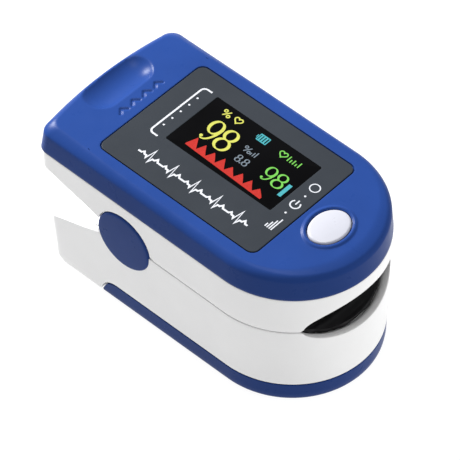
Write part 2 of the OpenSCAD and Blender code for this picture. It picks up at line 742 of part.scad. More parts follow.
module battery_door() color("royalblue")
    difference() {
        union() {
            intersection() {
                difference() {
                    loft(lower_levels, lower_rear_y);
                    // Room for the skirt, open at the rear so that the door slides off over the nose
                    prism(door_t, door_h + 1, body_l, skirt_in - door_gap);
                }
                door_space(-door_gap);
            }
            // Rails that run in the skirt's grooves
            for (side = [-1, 1]) on_side(side)
                translate([half_w - skirt_in - 0.45, nose_y + half_w + 2, rail_z])
                    cube([1.1, rail_end_y - nose_y - half_w - 2, rail_t]);
        }
        // Thumb grip grooves under the door
        for (i = [-2:2])
            block([grip_w, 0.8, 0.4], [0, grip_y + grip_pitch * i, -eps]);
    }

// ---- Hinge ----------------------------------------------------------------------------------

module hinge_pin(side) color("silver") on_side(side) axle(pin_r, pin_end_x, ear_x - 0.05);

// Domed cap with two pegs in the ear
module hinge_cap(side) color("royalblue") on_side(side)
    union() {
        translate([ear_x + 0.03, hinge_y, hinge_z]) rotate([0, 90, 0])
            rotate_extrude($fn = 96)
                polygon([[0, 0], [cap_r, 0], [cap_r, 0.5], [cap_r - 0.4, 0.75], [3, 0.88], [0, 0.92]]);
        for (y = [-peg_y, peg_y]) axle(peg_r, ear_in_x + 0.3, ear_x + 0.1, y);
    }

// Wire of a torsion spring: upper leg, coil about the pin, lower leg
function spring_path(x) =
    let (total = -360 * spring_turns - 2 * leave_a, n = spring_turns * 16)
    concat(
        [[x, hinge_y + spring_reach * cos(spring_lean), hinge_z + spring_reach * sin(spring_lean)]],
        [for (i = [0:n]) let (a = leave_a + total * i / n)
            [x - i / n * spring_w, hinge_y + spring_r * cos(a), hinge_z + spring_r * sin(a)]],
        [[x - spring_w, hinge_y + spring_reach * cos(spring_lean) * 0.75,
            hinge_z - spring_reach * sin(spring_lean) * 0.68]]);

module torsion_spring(side) color("silver") on_side(side)
    sweep(spring_path(cheek_x - cheek_t - 0.35), ring_profile(wire_r));

module hinge_pin_left() hinge_pin(-1);
module hinge_pin_right() hinge_pin(1);
module torsion_spring_left() torsion_spring(-1);
module torsion_spring_right() torsion_spring(1);
module hinge_cap_left() hinge_cap(-1);
module hinge_cap_right() hinge_cap(1);

// ---- Wiring ---------------------------------------------------------------------------------

module sensor_cable() color("saddlebrown")
    sweep([for (p = cable_route) [0, p[0], p[1]]], [[-2.5, -0.12], [2.5, -0.12], [2.5, 0.12], [-2.5, 0.12]]);

module battery_leads() color("crimson")
    for (x = [-1.1, 1.1])
        sweep([for (p = lead_route) [x, p[0], p[1]]], ring_profile(0.35));

top_cover();
display_lens();
display_module();
main_board();
controller_chip();
amplifier_chip();
crystal_can();
board_capacitors();
cable_socket();
board_screws();
switch_body();
switch_plunger();
power_button();
upper_frame();
upper_pad();
emitter_board();
emitter_led();
emitter_window();
cover_screws();
lower_shell();
lower_deck();
lower_pad();
detector_board();
photodiode();
detector_window();
deck_screws();
battery_left();
battery_right();
battery_bridge();
battery_spring();
battery_plate();
battery_door();
hinge_pin_left();
hinge_pin_right();
torsion_spring_left();
torsion_spring_right();
hinge_cap_left();
hinge_cap_right();
sensor_cable();
battery_leads();
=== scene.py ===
"""Visual model of a fingertip pulse oximeter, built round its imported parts.

Surfaces are worked out in millimetres, in the frame of the part, and put into meshes in metres.
The upper half is worked out level and then leaned about the hinge by its rest pitch.
"""

import json
import math

import bmesh
import bpy
import numpy as np
from bpy.props import FloatProperty, FloatVectorProperty, IntProperty, PointerProperty
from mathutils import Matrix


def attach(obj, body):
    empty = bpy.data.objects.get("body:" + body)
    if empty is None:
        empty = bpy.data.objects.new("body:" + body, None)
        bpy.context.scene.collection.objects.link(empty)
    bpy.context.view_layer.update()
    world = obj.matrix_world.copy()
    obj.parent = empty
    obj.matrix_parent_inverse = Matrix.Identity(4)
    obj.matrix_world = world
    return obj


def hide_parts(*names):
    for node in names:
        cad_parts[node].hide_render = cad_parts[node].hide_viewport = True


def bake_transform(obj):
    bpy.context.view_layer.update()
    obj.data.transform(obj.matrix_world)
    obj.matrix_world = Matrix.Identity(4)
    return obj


bl_info = {
    "name": "Fingertip pulse oximeter",
    "version": (1, 0, 0),
    "blender": (4, 5, 0),
    "location": "View3D > Sidebar > Oximeter",
    "description": "Builds the visible pieces of a fingertip pulse oximeter round its packed parts",
    "category": "Object",
}

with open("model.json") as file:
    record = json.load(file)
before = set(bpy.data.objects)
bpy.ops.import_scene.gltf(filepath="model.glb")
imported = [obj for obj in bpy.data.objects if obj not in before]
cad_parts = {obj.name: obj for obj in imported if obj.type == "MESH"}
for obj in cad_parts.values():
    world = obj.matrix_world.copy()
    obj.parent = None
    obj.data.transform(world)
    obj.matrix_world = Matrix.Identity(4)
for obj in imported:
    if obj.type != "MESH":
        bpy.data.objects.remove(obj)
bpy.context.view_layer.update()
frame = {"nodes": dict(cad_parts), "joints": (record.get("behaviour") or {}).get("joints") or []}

MM = 0.001
WELD = 2e-6
TAU = 2 * math.pi

joints = {j["name"]: j for j in frame["joints"]}
HINGE = np.array(joints["clamp_hinge"]["pos_m"]) / MM
PRESS_AXIS = joints["button_press"]["axis"]
PITCH = math.atan2(PRESS_AXIS[1], -PRESS_AXIS[2])


def lean(points, angle=PITCH):
    """Points turned about the hinge axis, which runs along X, nose down for a positive angle."""
    out = np.array(points, float)
    y, z = out[..., 1] - HINGE[1], out[..., 2] - HINGE[2]
    out[..., 1] = HINGE[1] + y * math.cos(angle) - z * math.sin(angle)
    out[..., 2] = HINGE[2] + y * math.sin(angle) + z * math.cos(angle)
    return out


def node_box(node, level=False):
    """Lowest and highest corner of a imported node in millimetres; level takes the rest pitch out first."""
    co = np.empty(len(frame["nodes"][node].data.vertices) * 3)
    frame["nodes"][node].data.vertices.foreach_get("co", co)
    co = co.reshape(-1, 3) / MM
    if level:
        co = lean(co, -PITCH)
    return co.min(0), co.max(0)


COVER_LO, COVER_HI = node_box("top_cover", True)
DOOR_LO, DOOR_HI = node_box("battery_door")
LABEL_LO, LABEL_HI = node_box("display_lens", True)
BUTTON_LO, BUTTON_HI = node_box("power_button", True)
CAP_LO, CAP_HI = node_box("hinge_cap_left")
UPAD_HI = node_box("upper_pad", True)[1]
LPAD_LO, LPAD_HI = node_box("lower_pad")

HALF_W = COVER_HI[0]
NOSE_Y = COVER_LO[1]
REAR_Y = COVER_HI[1]
LOWER_REAR_Y = REAR_Y - 0.9
TOP_Z = LABEL_HI[2] + 0.02
SEAM_Z = HINGE[2] + 0.3
LABEL_Y = (LABEL_LO[1] + LABEL_HI[1]) / 2
BUTTON_Y = (BUTTON_LO[1] + BUTTON_HI[1]) / 2
CAP_R = (CAP_HI[2] - CAP_LO[2]) / 2
SCOOP_Y = REAR_Y - 4.25
DOOR_Y = HINGE[1] + 5.9
DOOR_LEAST = 0.9        # Height of the door's side wall at its rear end
DECK_Z, CELL_Z = 12.4, 6.4
PLATE = 0.9             # Thickness of the floors, decks and stiffening plates
LABEL_SLACK = 0.08      # Shows as a dark line between the label and its seat

# Lower half: how far the outline is in at each height: height, sides, nose, rear
LOWER_LEVELS = [(0, 0.9, 0.4, 2.1), (0.15, 0.78, 0.3, 1.8), (0.35, 0.68, 0.18, 1.5), (0.6, 0.6, 0.1, 1.3),
                (1.4, 0.52, 0, 1.0), (SEAM_Z + 2, 0, 0, 0)]


# ---- Sizes and colours a user may change ---------------------------------------------------------

def length(label, about, default):
    return FloatProperty(name=label, description=about, default=default, min=0.0)


def colour(label, about, default):
    return FloatVectorProperty(name=label, description=about, subtype="COLOR", size=3, min=0, max=1,
                               default=default)


class OximeterSizes(bpy.types.PropertyGroup):
    """Sizes of the mouldings, in millimetres."""
    cover_height: length("Cover height", "Height of the blue cover, in mm", 5.0)
    cover_edge: length("Cover edge", "Width of the rounding round the cover's top, in mm", 1.5)
    cover_brow: length("Cover brow", "Width of the gentle slope that is added at the nose, in mm", 1.9)
    brow_drop: length("Brow drop", "Height of that slope, in mm", 0.42)
    cover_drop: length("Cover drop", "Height of the rounding round the cover's top, in mm", 1.4)
    corner: length("Rear corner", "Radius of the rear corners, in mm", 2.2)
    bow: length("Rear bow", "Radius of the bowed rear edge, in mm", 82.0)
    wall: length("Wall", "Thickness of the white shells, in mm", 1.6)
    collar: length("Button collar", "Width of the raised ring round the button, in mm", 1.1)
    collar_height: length("Collar height", "Height of the ring round the button, in mm", 0.25)
    scoop_width: length("Scoop width", "Width of the thumb scoop, in mm", 14.0)
    scoop_length: length("Scoop length", "Length of the thumb scoop, in mm", 6.6)
    scoop_depth: length("Scoop depth", "Depth of the thumb scoop, in mm", 1.1)
    opening: length("Opening", "Width of the finger opening, in mm", 21.2)
    arch: length("Arch", "Rise of the finger opening above the seam, in mm", 4.9)
    lip: length("Lip", "Dip of the finger opening below the seam, in mm", 3.1)
    upper_slope: length("Press end slope", "Slope of the upper half's press end, in degrees", 15.0)
    lower_slope: length("Deck slope", "Slope of the lower half's rear rim, in degrees", 20.0)
    door_end: length("Door end radius", "Radius of the door's rear corners, in mm", 3.7)
    stroke: length("Print stroke", "Width of the printed lines on the label, in mm", 0.36)
    beats: IntProperty(name="Beats", description="Beats in the printed trace", default=5, min=1)


class OximeterColours(bpy.types.PropertyGroup):
    """Colours of the finishes, linear RGB."""
    cover: colour("Cover", "Blue of the cover, caps and door", (0.013, 0.039, 0.166))
    shell: colour("Shell", "White of the two shells", (0.80, 0.80, 0.80))
    label: colour("Label", "Grey of the printed label", (0.024, 0.028, 0.034))
    button: colour("Button", "White of the button", (0.38, 0.385, 0.43))
    silicone: colour("Silicone", "Black of the finger pads", (0.012, 0.012, 0.013))


def sizes():
    return bpy.context.scene.oximeter_sizes


def colours():
    return bpy.context.scene.oximeter_colours


# ---- Meshes from surfaces ------------------------------------------------------------------------

def quads(rows, cols, wrap_rows, wrap_cols):
    """Faces of a grid of points; a wrapped direction joins its last line to its first."""
    r, c = np.meshgrid(np.arange(rows - (not wrap_rows)), np.arange(cols - (not wrap_cols)), indexing="ij")
    r2, c2 = (r + 1) % rows, (c + 1) % cols
    return np.stack([r * cols + c, r * cols + c2, r2 * cols + c2, r2 * cols + c], -1).reshape(-1, 4)


def patch(points, wrap_rows=False, wrap_cols=False):
    return np.asarray(points, float), wrap_rows, wrap_cols


def turned(patches, angle=PITCH):
    """The same patches, leaned about the hinge."""
    return [(lean(points, angle), rows, cols) for points, rows, cols in patches]


def mirrored(patches):
    """The same patches on the other side of the middle plane."""
    return [(points * np.array([-1, 1, 1]), rows, cols) for points, rows, cols in patches]


def piece(name, patches, body, material, replaces=(), thickness=0.0, bevel=0.0, crease=38):
    """One object from grids of points in millimetres: welded, faces outward, walls and edges finished."""
    verts, faces, count = [], [], 0
    for points, wrap_rows, wrap_cols in patches:
        verts.append(points.reshape(-1, 3) * MM)
        faces.append(quads(points.shape[0], points.shape[1], wrap_rows, wrap_cols) + count)
        count += len(verts[-1])
    mesh = bpy.data.meshes.new(name)
    mesh.from_pydata(np.concatenate(verts).tolist(), [], np.concatenate(faces).tolist())
    bm = bmesh.new()
    bm.from_mesh(mesh)
    bmesh.ops.remove_doubles(bm, verts=bm.verts, dist=WELD)
    bmesh.ops.dissolve_degenerate(bm, dist=WELD, edges=bm.edges)
    bmesh.ops.recalc_face_normals(bm, faces=bm.faces)
    bm.to_mesh(mesh)
    bm.free()
    obj = bpy.data.objects.new(name, mesh)
    bpy.context.scene.collection.objects.link(obj)
    if thickness:
        solid = obj.modifiers.new("Wall", "SOLIDIFY")
        solid.thickness = thickness * MM
        solid.offset = -1
    if bevel:
        edge = obj.modifiers.new("Edges", "BEVEL")
        edge.width = bevel * MM
        edge.segments = 2
        edge.limit_method = "ANGLE"
        edge.angle_limit = math.radians(50)
        edge.use_clamp_overlap = True
    if thickness or bevel:
        done = bpy.data.meshes.new_from_object(obj.evaluated_get(bpy.context.evaluated_depsgraph_get()))
        obj.modifiers.clear()
        obj.data = done
        bpy.data.meshes.remove(mesh)
    obj.data.name = name
    smooth(obj, crease)
    obj.data.materials.clear()
    obj.data.materials.append(material)
    if body:
        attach(obj, body)
    if replaces:
        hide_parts(*replaces)
    return obj


def smooth(obj, crease):
    """Smooth shading, with edges sharper than crease degrees left crisp."""
    mesh = obj.data
    mesh.polygons.foreach_set("use_smooth", np.ones(len(mesh.polygons), bool))
    mesh.set_sharp_from_angle(angle=math.radians(crease))


def poled(points):
    """Rows of points with a pole at each end, where the row shrinks to its middle."""
    first = np.repeat(points[:1].mean(1, keepdims=True), points.shape[1], 1)
    last = np.repeat(points[-1:].mean(1, keepdims=True), points.shape[1], 1)
    return np.concatenate([first, points, last])


def quarter(n=5):
    """Angles of a quarter turn."""
    return np.linspace(0, math.pi / 2, n)


def soft_min(a, b, width):
    """The lower of two heights, blended where they are closer than width."""
    h = np.clip(0.5 + 0.5 * (b - a) / width, 0, 1)
    return b + (a - b) * h - width * h * (1 - h)


def ramp(x, low, high):
    """Smooth step from 0 at low to 1 at high."""
    t = np.clip((x - low) / (high - low), 0, 1)
    return t * t * (3 - 2 * t)


def rounded_rect(centre, size, radius, n=8, m=10):
    """Function of inset: closed loop of a rectangle with round corners, corner arcs and sides in step."""
    def loop(inset=0.0):
        hx, hy = size[0] / 2 - inset, size[1] / 2 - inset
        r = max(radius - inset, 0.02)
        out = []
        for k, (sx, sy) in enumerate(((1, 1), (-1, 1), (-1, -1), (1, -1))):
            a = k * math.pi / 2 + np.linspace(0, math.pi / 2, n)
            arc = np.stack([sx * (hx - r) + r * np.cos(a), sy * (hy - r) + r * np.sin(a)], -1)
            out.append(arc)
            nx, ny = ((-1, 1), (-1, -1), (1, -1), (1, 1))[k]
            b = (k + 1) * math.pi / 2
            end = np.array([nx * (hx - r) + r * math.cos(b), ny * (hy - r) + r * math.sin(b)])
            t = np.linspace(0, 1, m + 2)[1:-1, None]
            out.append(arc[-1] * (1 - t) + end * t)
        return np.concatenate(out) + np.array(centre)
    return loop


def ellipse(centre, a, b, n=96):
    """Function of inset: closed loop of an ellipse."""
    def loop(inset=0.0):
        t = np.linspace(0, TAU, n, endpoint=False)
        return np.stack([centre[0] + (a - inset) * np.cos(t), centre[1] + (b - inset) * np.sin(t)], -1)
    return loop


def plate(loop, profile):
    """Closed body whose loop shrinks by profile[:, 0] at height profile[:, 1], with a pole at each end."""
    rows = [np.column_stack([loop(d), np.full(len(loop(d)), z)]) for d, z in profile]
    return patch(poled(np.stack(rows)), wrap_cols=True)


def slab(z0, z1, fillet=0.1):
    """Profile of a flat plate from z0 up to z1 with rounded edges."""
    q = quarter()
    low = np.stack([fillet * (1 - np.sin(q)), z0 + fillet * (1 - np.cos(q))], -1)
    high = np.stack([fillet * (1 - np.cos(q)), z1 - fillet * (1 - np.sin(q))], -1)
    return np.concatenate([low, high])


def on_axis(item, order):
    """A patch with its coordinates taken in another order, to stand a plate on its edge."""
    points, wrap_rows, wrap_cols = item
    return points[..., list(order)], wrap_rows, wrap_cols


# ---- Case outline --------------------------------------------------------------------------------

def half_outline(nose, side, corner, bow):
    """Stations from the nose tip to the middle of the rear: kind, parameter. Angles for the nose and corner,
    shares for the side and the bow."""
    kind = np.concatenate([np.full(len(v), k) for k, v in enumerate((nose, side, corner, bow))])
    return kind, np.concatenate([nose, side, corner, bow])


def whole_outline(half):
    """Right half, then left half back to the tip: kind, parameter and side."""
    kind, value = half
    back = slice(-2, 0, -1)
    return (np.concatenate([kind, kind[back]]), np.concatenate([value, value[back]]),
            np.concatenate([np.ones(len(kind)), -np.ones(len(kind) - 2)]))


def plan(stations, width, nose, rear, corner, bow, inset=0.0, keep_x=0.0, hold=None):
    """Point of the case outline, moved in by inset. The nose is a half circle as wide as the case, the sides
    are straight, the rear corners are arcs and the rear edge bows by x squared over twice its radius.
    Within keep_x of the middle, the nose keeps its x as it moves in. With hold, the y where the straight side
    ends at no inset, the side keeps its y as it moves in, up to its last quarter."""
    kind, value, side = (v.reshape(-1, 1) for v in stations)
    a = width - inset
    r = np.maximum(corner - inset, 0.4)
    corner_x = a - r
    corner_y = rear - inset - corner_x ** 2 / (2 * bow) - r
    nose_y = nose + width
    turn = value
    if keep_x:
        outer, inner = np.arcsin(keep_x / width), np.arcsin(np.clip(keep_x / a, 0, 1))
        same = np.arcsin(np.clip(np.sin(np.where(kind == 0, value, 0)) * width / a, -1, 1))
        rest = inner + (value - outer) * (math.pi / 2 - inner) / (math.pi / 2 - outer)
        turn = np.where(value <= outer, same, rest)
    along = nose_y + value * (corner_y - nose_y)
    if hold is not None:
        along = nose_y + value * (hold - nose_y) + (corner_y - hold) * ramp(value, 0.74, 1.0)
    x = np.select([kind == 0, kind == 1, kind == 2],
                  [a * np.sin(turn), a + 0 * value, corner_x + r * np.cos(value)], corner_x * value)
    y = np.select([kind == 0, kind == 1, kind == 2],
                  [nose_y - a * np.cos(turn), along,
                   corner_y + r * np.sin(value)], rear - inset - (corner_x * value) ** 2 / (2 * bow))
    return x * side, y + 0 * inset


def side_end(rear):
    """The y where the straight side ends, before any inset."""
    s = sizes()
    return rear - (HALF_W - s.corner) ** 2 / (2 * s.bow) - s.corner


def side_share(y, rear):
    """Share of the straight side at a given y."""
    start = NOSE_Y + HALF_W
    return (np.asarray(y) - start) / (side_end(rear) - start)


def wall_section(wall, outer, inner, rows=9):
    """Closed section of a wall: inset, share of the height, and offset from that end."""
    q = quarter()
    up, down = np.linspace(0, 1, rows)[1:-1], np.linspace(1, 0, 5)[1:-1]
    zero, one = np.zeros(len(q)), np.ones(len(q))
    inset = [outer * (1 - np.sin(q)), 0 * up, outer * (1 - np.cos(q)), wall - inner * (1 - np.sin(q)),
             0 * down + wall, wall - inner * (1 - np.cos(q))]
    share = [zero, up, one, one, down, zero]
    lift = [outer * (1 - np.cos(q)), 0 * up, -outer * (1 - np.sin(q)), -inner * (1 - np.cos(q)),
            0 * down, inner * (1 - np.sin(q))]
    return tuple(np.concatenate(v)[None, :] for v in (inset, share, lift))


def wall_band(stations, levels, rear, section, low, high, keep_x=0.0, extra=0.0):
    """Wall that follows the outline: each station's section stands between low(x, y) and high(x, y).
    levels gives how far the outline is in at each height, and extra moves the whole section in."""
    s = sizes()
    inset, share, lift = section
    inset = inset + extra
    z = np.full((len(stations[0]), inset.shape[1]), 10.0)
    table = np.array(levels)
    for _ in range(3):
        narrow, nose_in, rear_in = (np.interp(z, table[:, 0], table[:, k]) for k in (1, 2, 3))
        x, y = plan(stations, HALF_W - narrow, NOSE_Y + nose_in, rear - rear_in, s.corner, s.bow, inset,
                    keep_x, side_end(rear))
        z = low(x, y) * (1 - share) + high(x, y) * share + lift
    return np.stack([x, y, z], -1)


# ---- Finishes ------------------------------------------------------------------------------------

def finish_nodes(name):
    """A new material with its shader, and Object coordinates for its patterns."""
    mat = bpy.data.materials.new(name)
    mat.use_nodes = True
    tree = mat.node_tree
    shader = tree.nodes["Principled BSDF"]
    coords = tree.nodes.new("ShaderNodeTexCoord").outputs["Object"]
    return mat, tree, shader, coords


def noise(tree, coords, scale, detail=3.0, rough=0.55):
    node = tree.nodes.new("ShaderNodeTexNoise")
    node.inputs["Scale"].default_value = scale
    node.inputs["Detail"].default_value = detail
    node.inputs["Roughness"].default_value = rough
    tree.links.new(coords, node.inputs["Vector"])
    return node.outputs["Fac"]


def spread(tree, value, low, high, from_low=0.3, from_high=0.7):
    node = tree.nodes.new("ShaderNodeMapRange")
    for key, v in (("From Min", from_low), ("From Max", from_high), ("To Min", low), ("To Max", high)):
        node.inputs[key].default_value = v
    tree.links.new(value, node.inputs["Value"])
    return node.outputs["Result"]


def mixed(tree, factor, first, second):
    node = tree.nodes.new("ShaderNodeMix")
    node.data_type = "RGBA"
    node.inputs[6].default_value = (*first, 1)
    node.inputs[7].default_value = (*second, 1)
    tree.links.new(factor, node.inputs[0])
    return node.outputs[2]


def bumped(tree, shader, height, strength, distance):
    node = tree.nodes.new("ShaderNodeBump")
    node.inputs["Strength"].default_value = strength
    node.inputs["Distance"].default_value = distance
    tree.links.new(height, node.inputs["Height"])
    tree.links.new(node.outputs["Normal"], shader.inputs["Normal"])


def moulded(name, base, rough=(0.28, 0.4), vary=0.08, grain=2600, depth=0.12, shine=0.5, metallic=0.0):
    """Moulded or pressed surface: a slow drift of colour, an uneven gloss and a fine grain."""
    mat, tree, shader, coords = finish_nodes(name)
    darker = tuple(c * (1 - vary) for c in base)
    lighter = tuple(min(1.0, c * (1 + vary)) for c in base)
    tree.links.new(mixed(tree, spread(tree, noise(tree, coords, 90), 0, 1), darker, lighter),
                   shader.inputs["Base Color"])
    tree.links.new(spread(tree, noise(tree, coords, 420, 5), *rough), shader.inputs["Roughness"])
    bumped(tree, shader, noise(tree, coords, grain, 2), depth, 0.00004)
    shader.inputs["Specular IOR Level"].default_value = shine
    shader.inputs["Metallic"].default_value = metallic
    return mat


def glowing(name, base, strength):
    """Lit segment of the screen, a little uneven like a fine matrix of dots."""
    mat, tree, shader, coords = finish_nodes(name)
    dim = tuple(c * 0.78 for c in base)
    lit = mixed(tree, spread(tree, noise(tree, coords, 5200, 1), 0, 1), dim, base)
    tree.links.new(lit, shader.inputs["Emission Color"])
    tree.links.new(mixed(tree, spread(tree, noise(tree, coords, 900), 0, 1), tuple(c * 0.02 for c in base),
                         tuple(c * 0.04 for c in base)), shader.inputs["Base Color"])
    shader.inputs["Specular IOR Level"].default_value = 0.15
    shader.inputs["Emission Strength"].default_value = strength
    shader.inputs["Roughness"].default_value = 0.3
    return mat


def clear(name, tint, rough=0.04):
    """Clear cast resin with faint ripples."""
    mat, tree, shader, coords = finish_nodes(name)
    tree.links.new(mixed(tree, noise(tree, coords, 300), tint, tuple(c * 0.9 for c in tint)),
                   shader.inputs["Base Color"])
    shader.inputs["Roughness"].default_value = rough
    shader.inputs["Transmission Weight"].default_value = 0.7
    shader.inputs["IOR"].default_value = 1.5
    bumped(tree, shader, noise(tree, coords, 900), 0.05, 0.00003)
    return mat


def circuit(name):
    """Green solder mask with copper runs under it."""
    mat, tree, shader, coords = finish_nodes(name)
    brick = tree.nodes.new("ShaderNodeTexBrick")
    brick.inputs["Scale"].default_value = 420
    brick.inputs["Color1"].default_value = (0.012, 0.085, 0.028, 1)
    brick.inputs["Color2"].default_value = (0.014, 0.105, 0.034, 1)
    brick.inputs["Mortar"].default_value = (0.03, 0.19, 0.06, 1)
    brick.inputs["Mortar Size"].default_value = 0.05
    tree.links.new(coords, brick.inputs["Vector"])
    tree.links.new(brick.outputs["Color"], shader.inputs["Base Color"])
    bumped(tree, shader, brick.outputs["Fac"], 0.3, 0.00003)
    tree.links.new(spread(tree, noise(tree, coords, 800), 0.3, 0.45), shader.inputs["Roughness"])
    return mat


def sleeve(name):
    """Printed sleeve of a cell: a dark body with a copper-coloured band at the plus end."""
    mat, tree, shader, coords = finish_nodes(name)
    split = tree.nodes.new("ShaderNodeSeparateXYZ")
    tree.links.new(coords, split.inputs["Vector"])
    band = spread(tree, split.outputs["Y"], 0, 1, 0.0049, 0.0051)
    tree.links.new(mixed(tree, band, (0.02, 0.022, 0.026), (0.42, 0.19, 0.07)), shader.inputs["Base Color"])
    tree.links.new(spread(tree, noise(tree, coords, 500), 0.22, 0.34), shader.inputs["Roughness"])
    bumped(tree, shader, noise(tree, coords, 1500), 0.08, 0.00003)
    shader.inputs["Metallic"].default_value = 0.35
    return mat


FINISHES = {}


def finishes():
    """Every finish by name, made once."""
    if FINISHES:
        return FINISHES
    c = colours()
    FINISHES.update({
        "cover_blue": moulded("cover_blue", tuple(c.cover), (0.26, 0.36), 0.05, 2400, 0.14, shine=0.05),
        "shell_white": moulded("shell_white", tuple(c.shell), (0.3, 0.42), 0.02, 2400, 0.12, shine=0.3),
        "deck_white": moulded("deck_white", tuple(v * 0.98 for v in c.shell), (0.34, 0.46), 0.02, 2000, 0.15),
        "label_grey": moulded("label_grey", tuple(c.label), (0.4, 0.5), 0.06, 5200, 0.1, shine=0.05),
        "print_white": moulded("print_white", (0.42, 0.43, 0.46), (0.5, 0.6), 0.04, 5200, 0.1),
        "screen_black": moulded("screen_black", (0.0015, 0.0015, 0.0018), (0.1, 0.16), 0.3, 1200, 0.02,
                                shine=0.06),
        "button_white": moulded("button_white", tuple(c.button), (0.26, 0.36), 0.02, 2400, 0.08),
        "silicone_black": moulded("silicone_black", tuple(c.silicone), (0.5, 0.66), 0.15, 3600, 0.35),
        "chip_black": moulded("chip_black", (0.018, 0.018, 0.02), (0.5, 0.65), 0.15, 4200, 0.5),
        "capacitor_tan": moulded("capacitor_tan", (0.42, 0.27, 0.13), (0.4, 0.55), 0.1, 3000, 0.2),
        "socket_ivory": moulded("socket_ivory", (0.72, 0.68, 0.54), (0.35, 0.5), 0.05, 3000, 0.2),
        "screw_steel": moulded("screw_steel", (0.56, 0.56, 0.55), (0.22, 0.36), 0.1, 3800, 0.15,
                               metallic=1.0),
        "spring_steel": moulded("spring_steel", (0.5, 0.5, 0.49), (0.2, 0.32), 0.1, 5200, 0.2, metallic=1.0),
        "contact_metal": moulded("contact_metal", (0.66, 0.63, 0.56), (0.18, 0.3), 0.08, 3000, 0.15,
                                 metallic=1.0),
        "flat_cable": moulded("flat_cable", (0.30, 0.13, 0.035), (0.3, 0.45), 0.12, 1800, 0.2),
        "lead_insulation": moulded("lead_insulation", (0.36, 0.016, 0.014), (0.35, 0.5), 0.08, 3000, 0.15),
        "circuit_board": circuit("circuit_board"),
        "led_resin": clear("led_resin", (0.90, 0.86, 0.62)),
        "clear_window": clear("clear_window", (0.72, 0.80, 0.86)),
        "cell_sleeve": sleeve("cell_sleeve"),
        "glow_yellow": glowing("glow_yellow", (0.88, 0.89, 0.17), 1.0),
        "glow_green": glowing("glow_green", (0.25, 0.78, 0.13), 1.0),
        "glow_cyan": glowing("glow_cyan", (0.10, 0.55, 0.62), 1.0),
        "glow_red": glowing("glow_red", (0.72, 0.045, 0.035), 1.0),
        "glow_grey": glowing("glow_grey", (0.26, 0.32, 0.38), 1.0),
    })
    return FINISHES


# ---- Top cover -----------------------------------------------------------------------------------

def scoop_height(x, y):
    """Height of the scoop: a round trough along X with ball ends, as deep as asked where it meets the top."""
    s = sizes()
    ball = ((s.scoop_length / 2) ** 2 + s.scoop_depth ** 2) / (2 * s.scoop_depth)
    past = np.maximum(np.abs(x) - (s.scoop_width - s.scoop_length) / 2, 0)
    away = past ** 2 + (y - SCOOP_Y) ** 2
    height = TOP_Z - s.scoop_depth + ball - np.sqrt(np.maximum(ball ** 2 - away, 0))
    return np.where(away < (0.9 * ball) ** 2, height, TOP_Z + 5)


def chevron_depth(x, y, centre_y, pitch=2.7, depth=0.22):
    """Four sunken arrows that point to the press end: depth falls off with distance from a bent line."""
    near = pitch * (np.clip(np.round(x / pitch + 0.5), -1, 2) - 0.5)
    u, v = np.abs(x - near), y - centre_y
    start, run = np.array([0.0, 0.45]), np.array([0.85, -0.8])
    t = np.clip(((u - start[0]) * run[0] + (v - start[1]) * run[1]) / (run @ run), 0, 1)
    away = np.hypot(u - start[0] - t * run[0], v - start[1] - t * run[1])
    return depth * (1 - ramp(away, 0.14, 0.36))


def seat_point(direction, half, radius):
    """Where a ray from the middle of a rounded rectangle meets it."""
    d = np.abs(direction)
    reach = np.minimum(half[0] / np.maximum(d[:, 0], 1e-9), half[1] / np.maximum(d[:, 1], 1e-9))
    hit = d * reach[:, None]
    core = np.array(half) - radius
    corner = (hit > core).all(1)
    along, off = (d @ core), (d ** 2).sum(1)
    root = np.sqrt(np.maximum(along ** 2 - off * (core @ core - radius ** 2), 0))
    hit[corner] = (d * ((along + root) / off)[:, None])[corner]
    return hit * np.sign(direction)


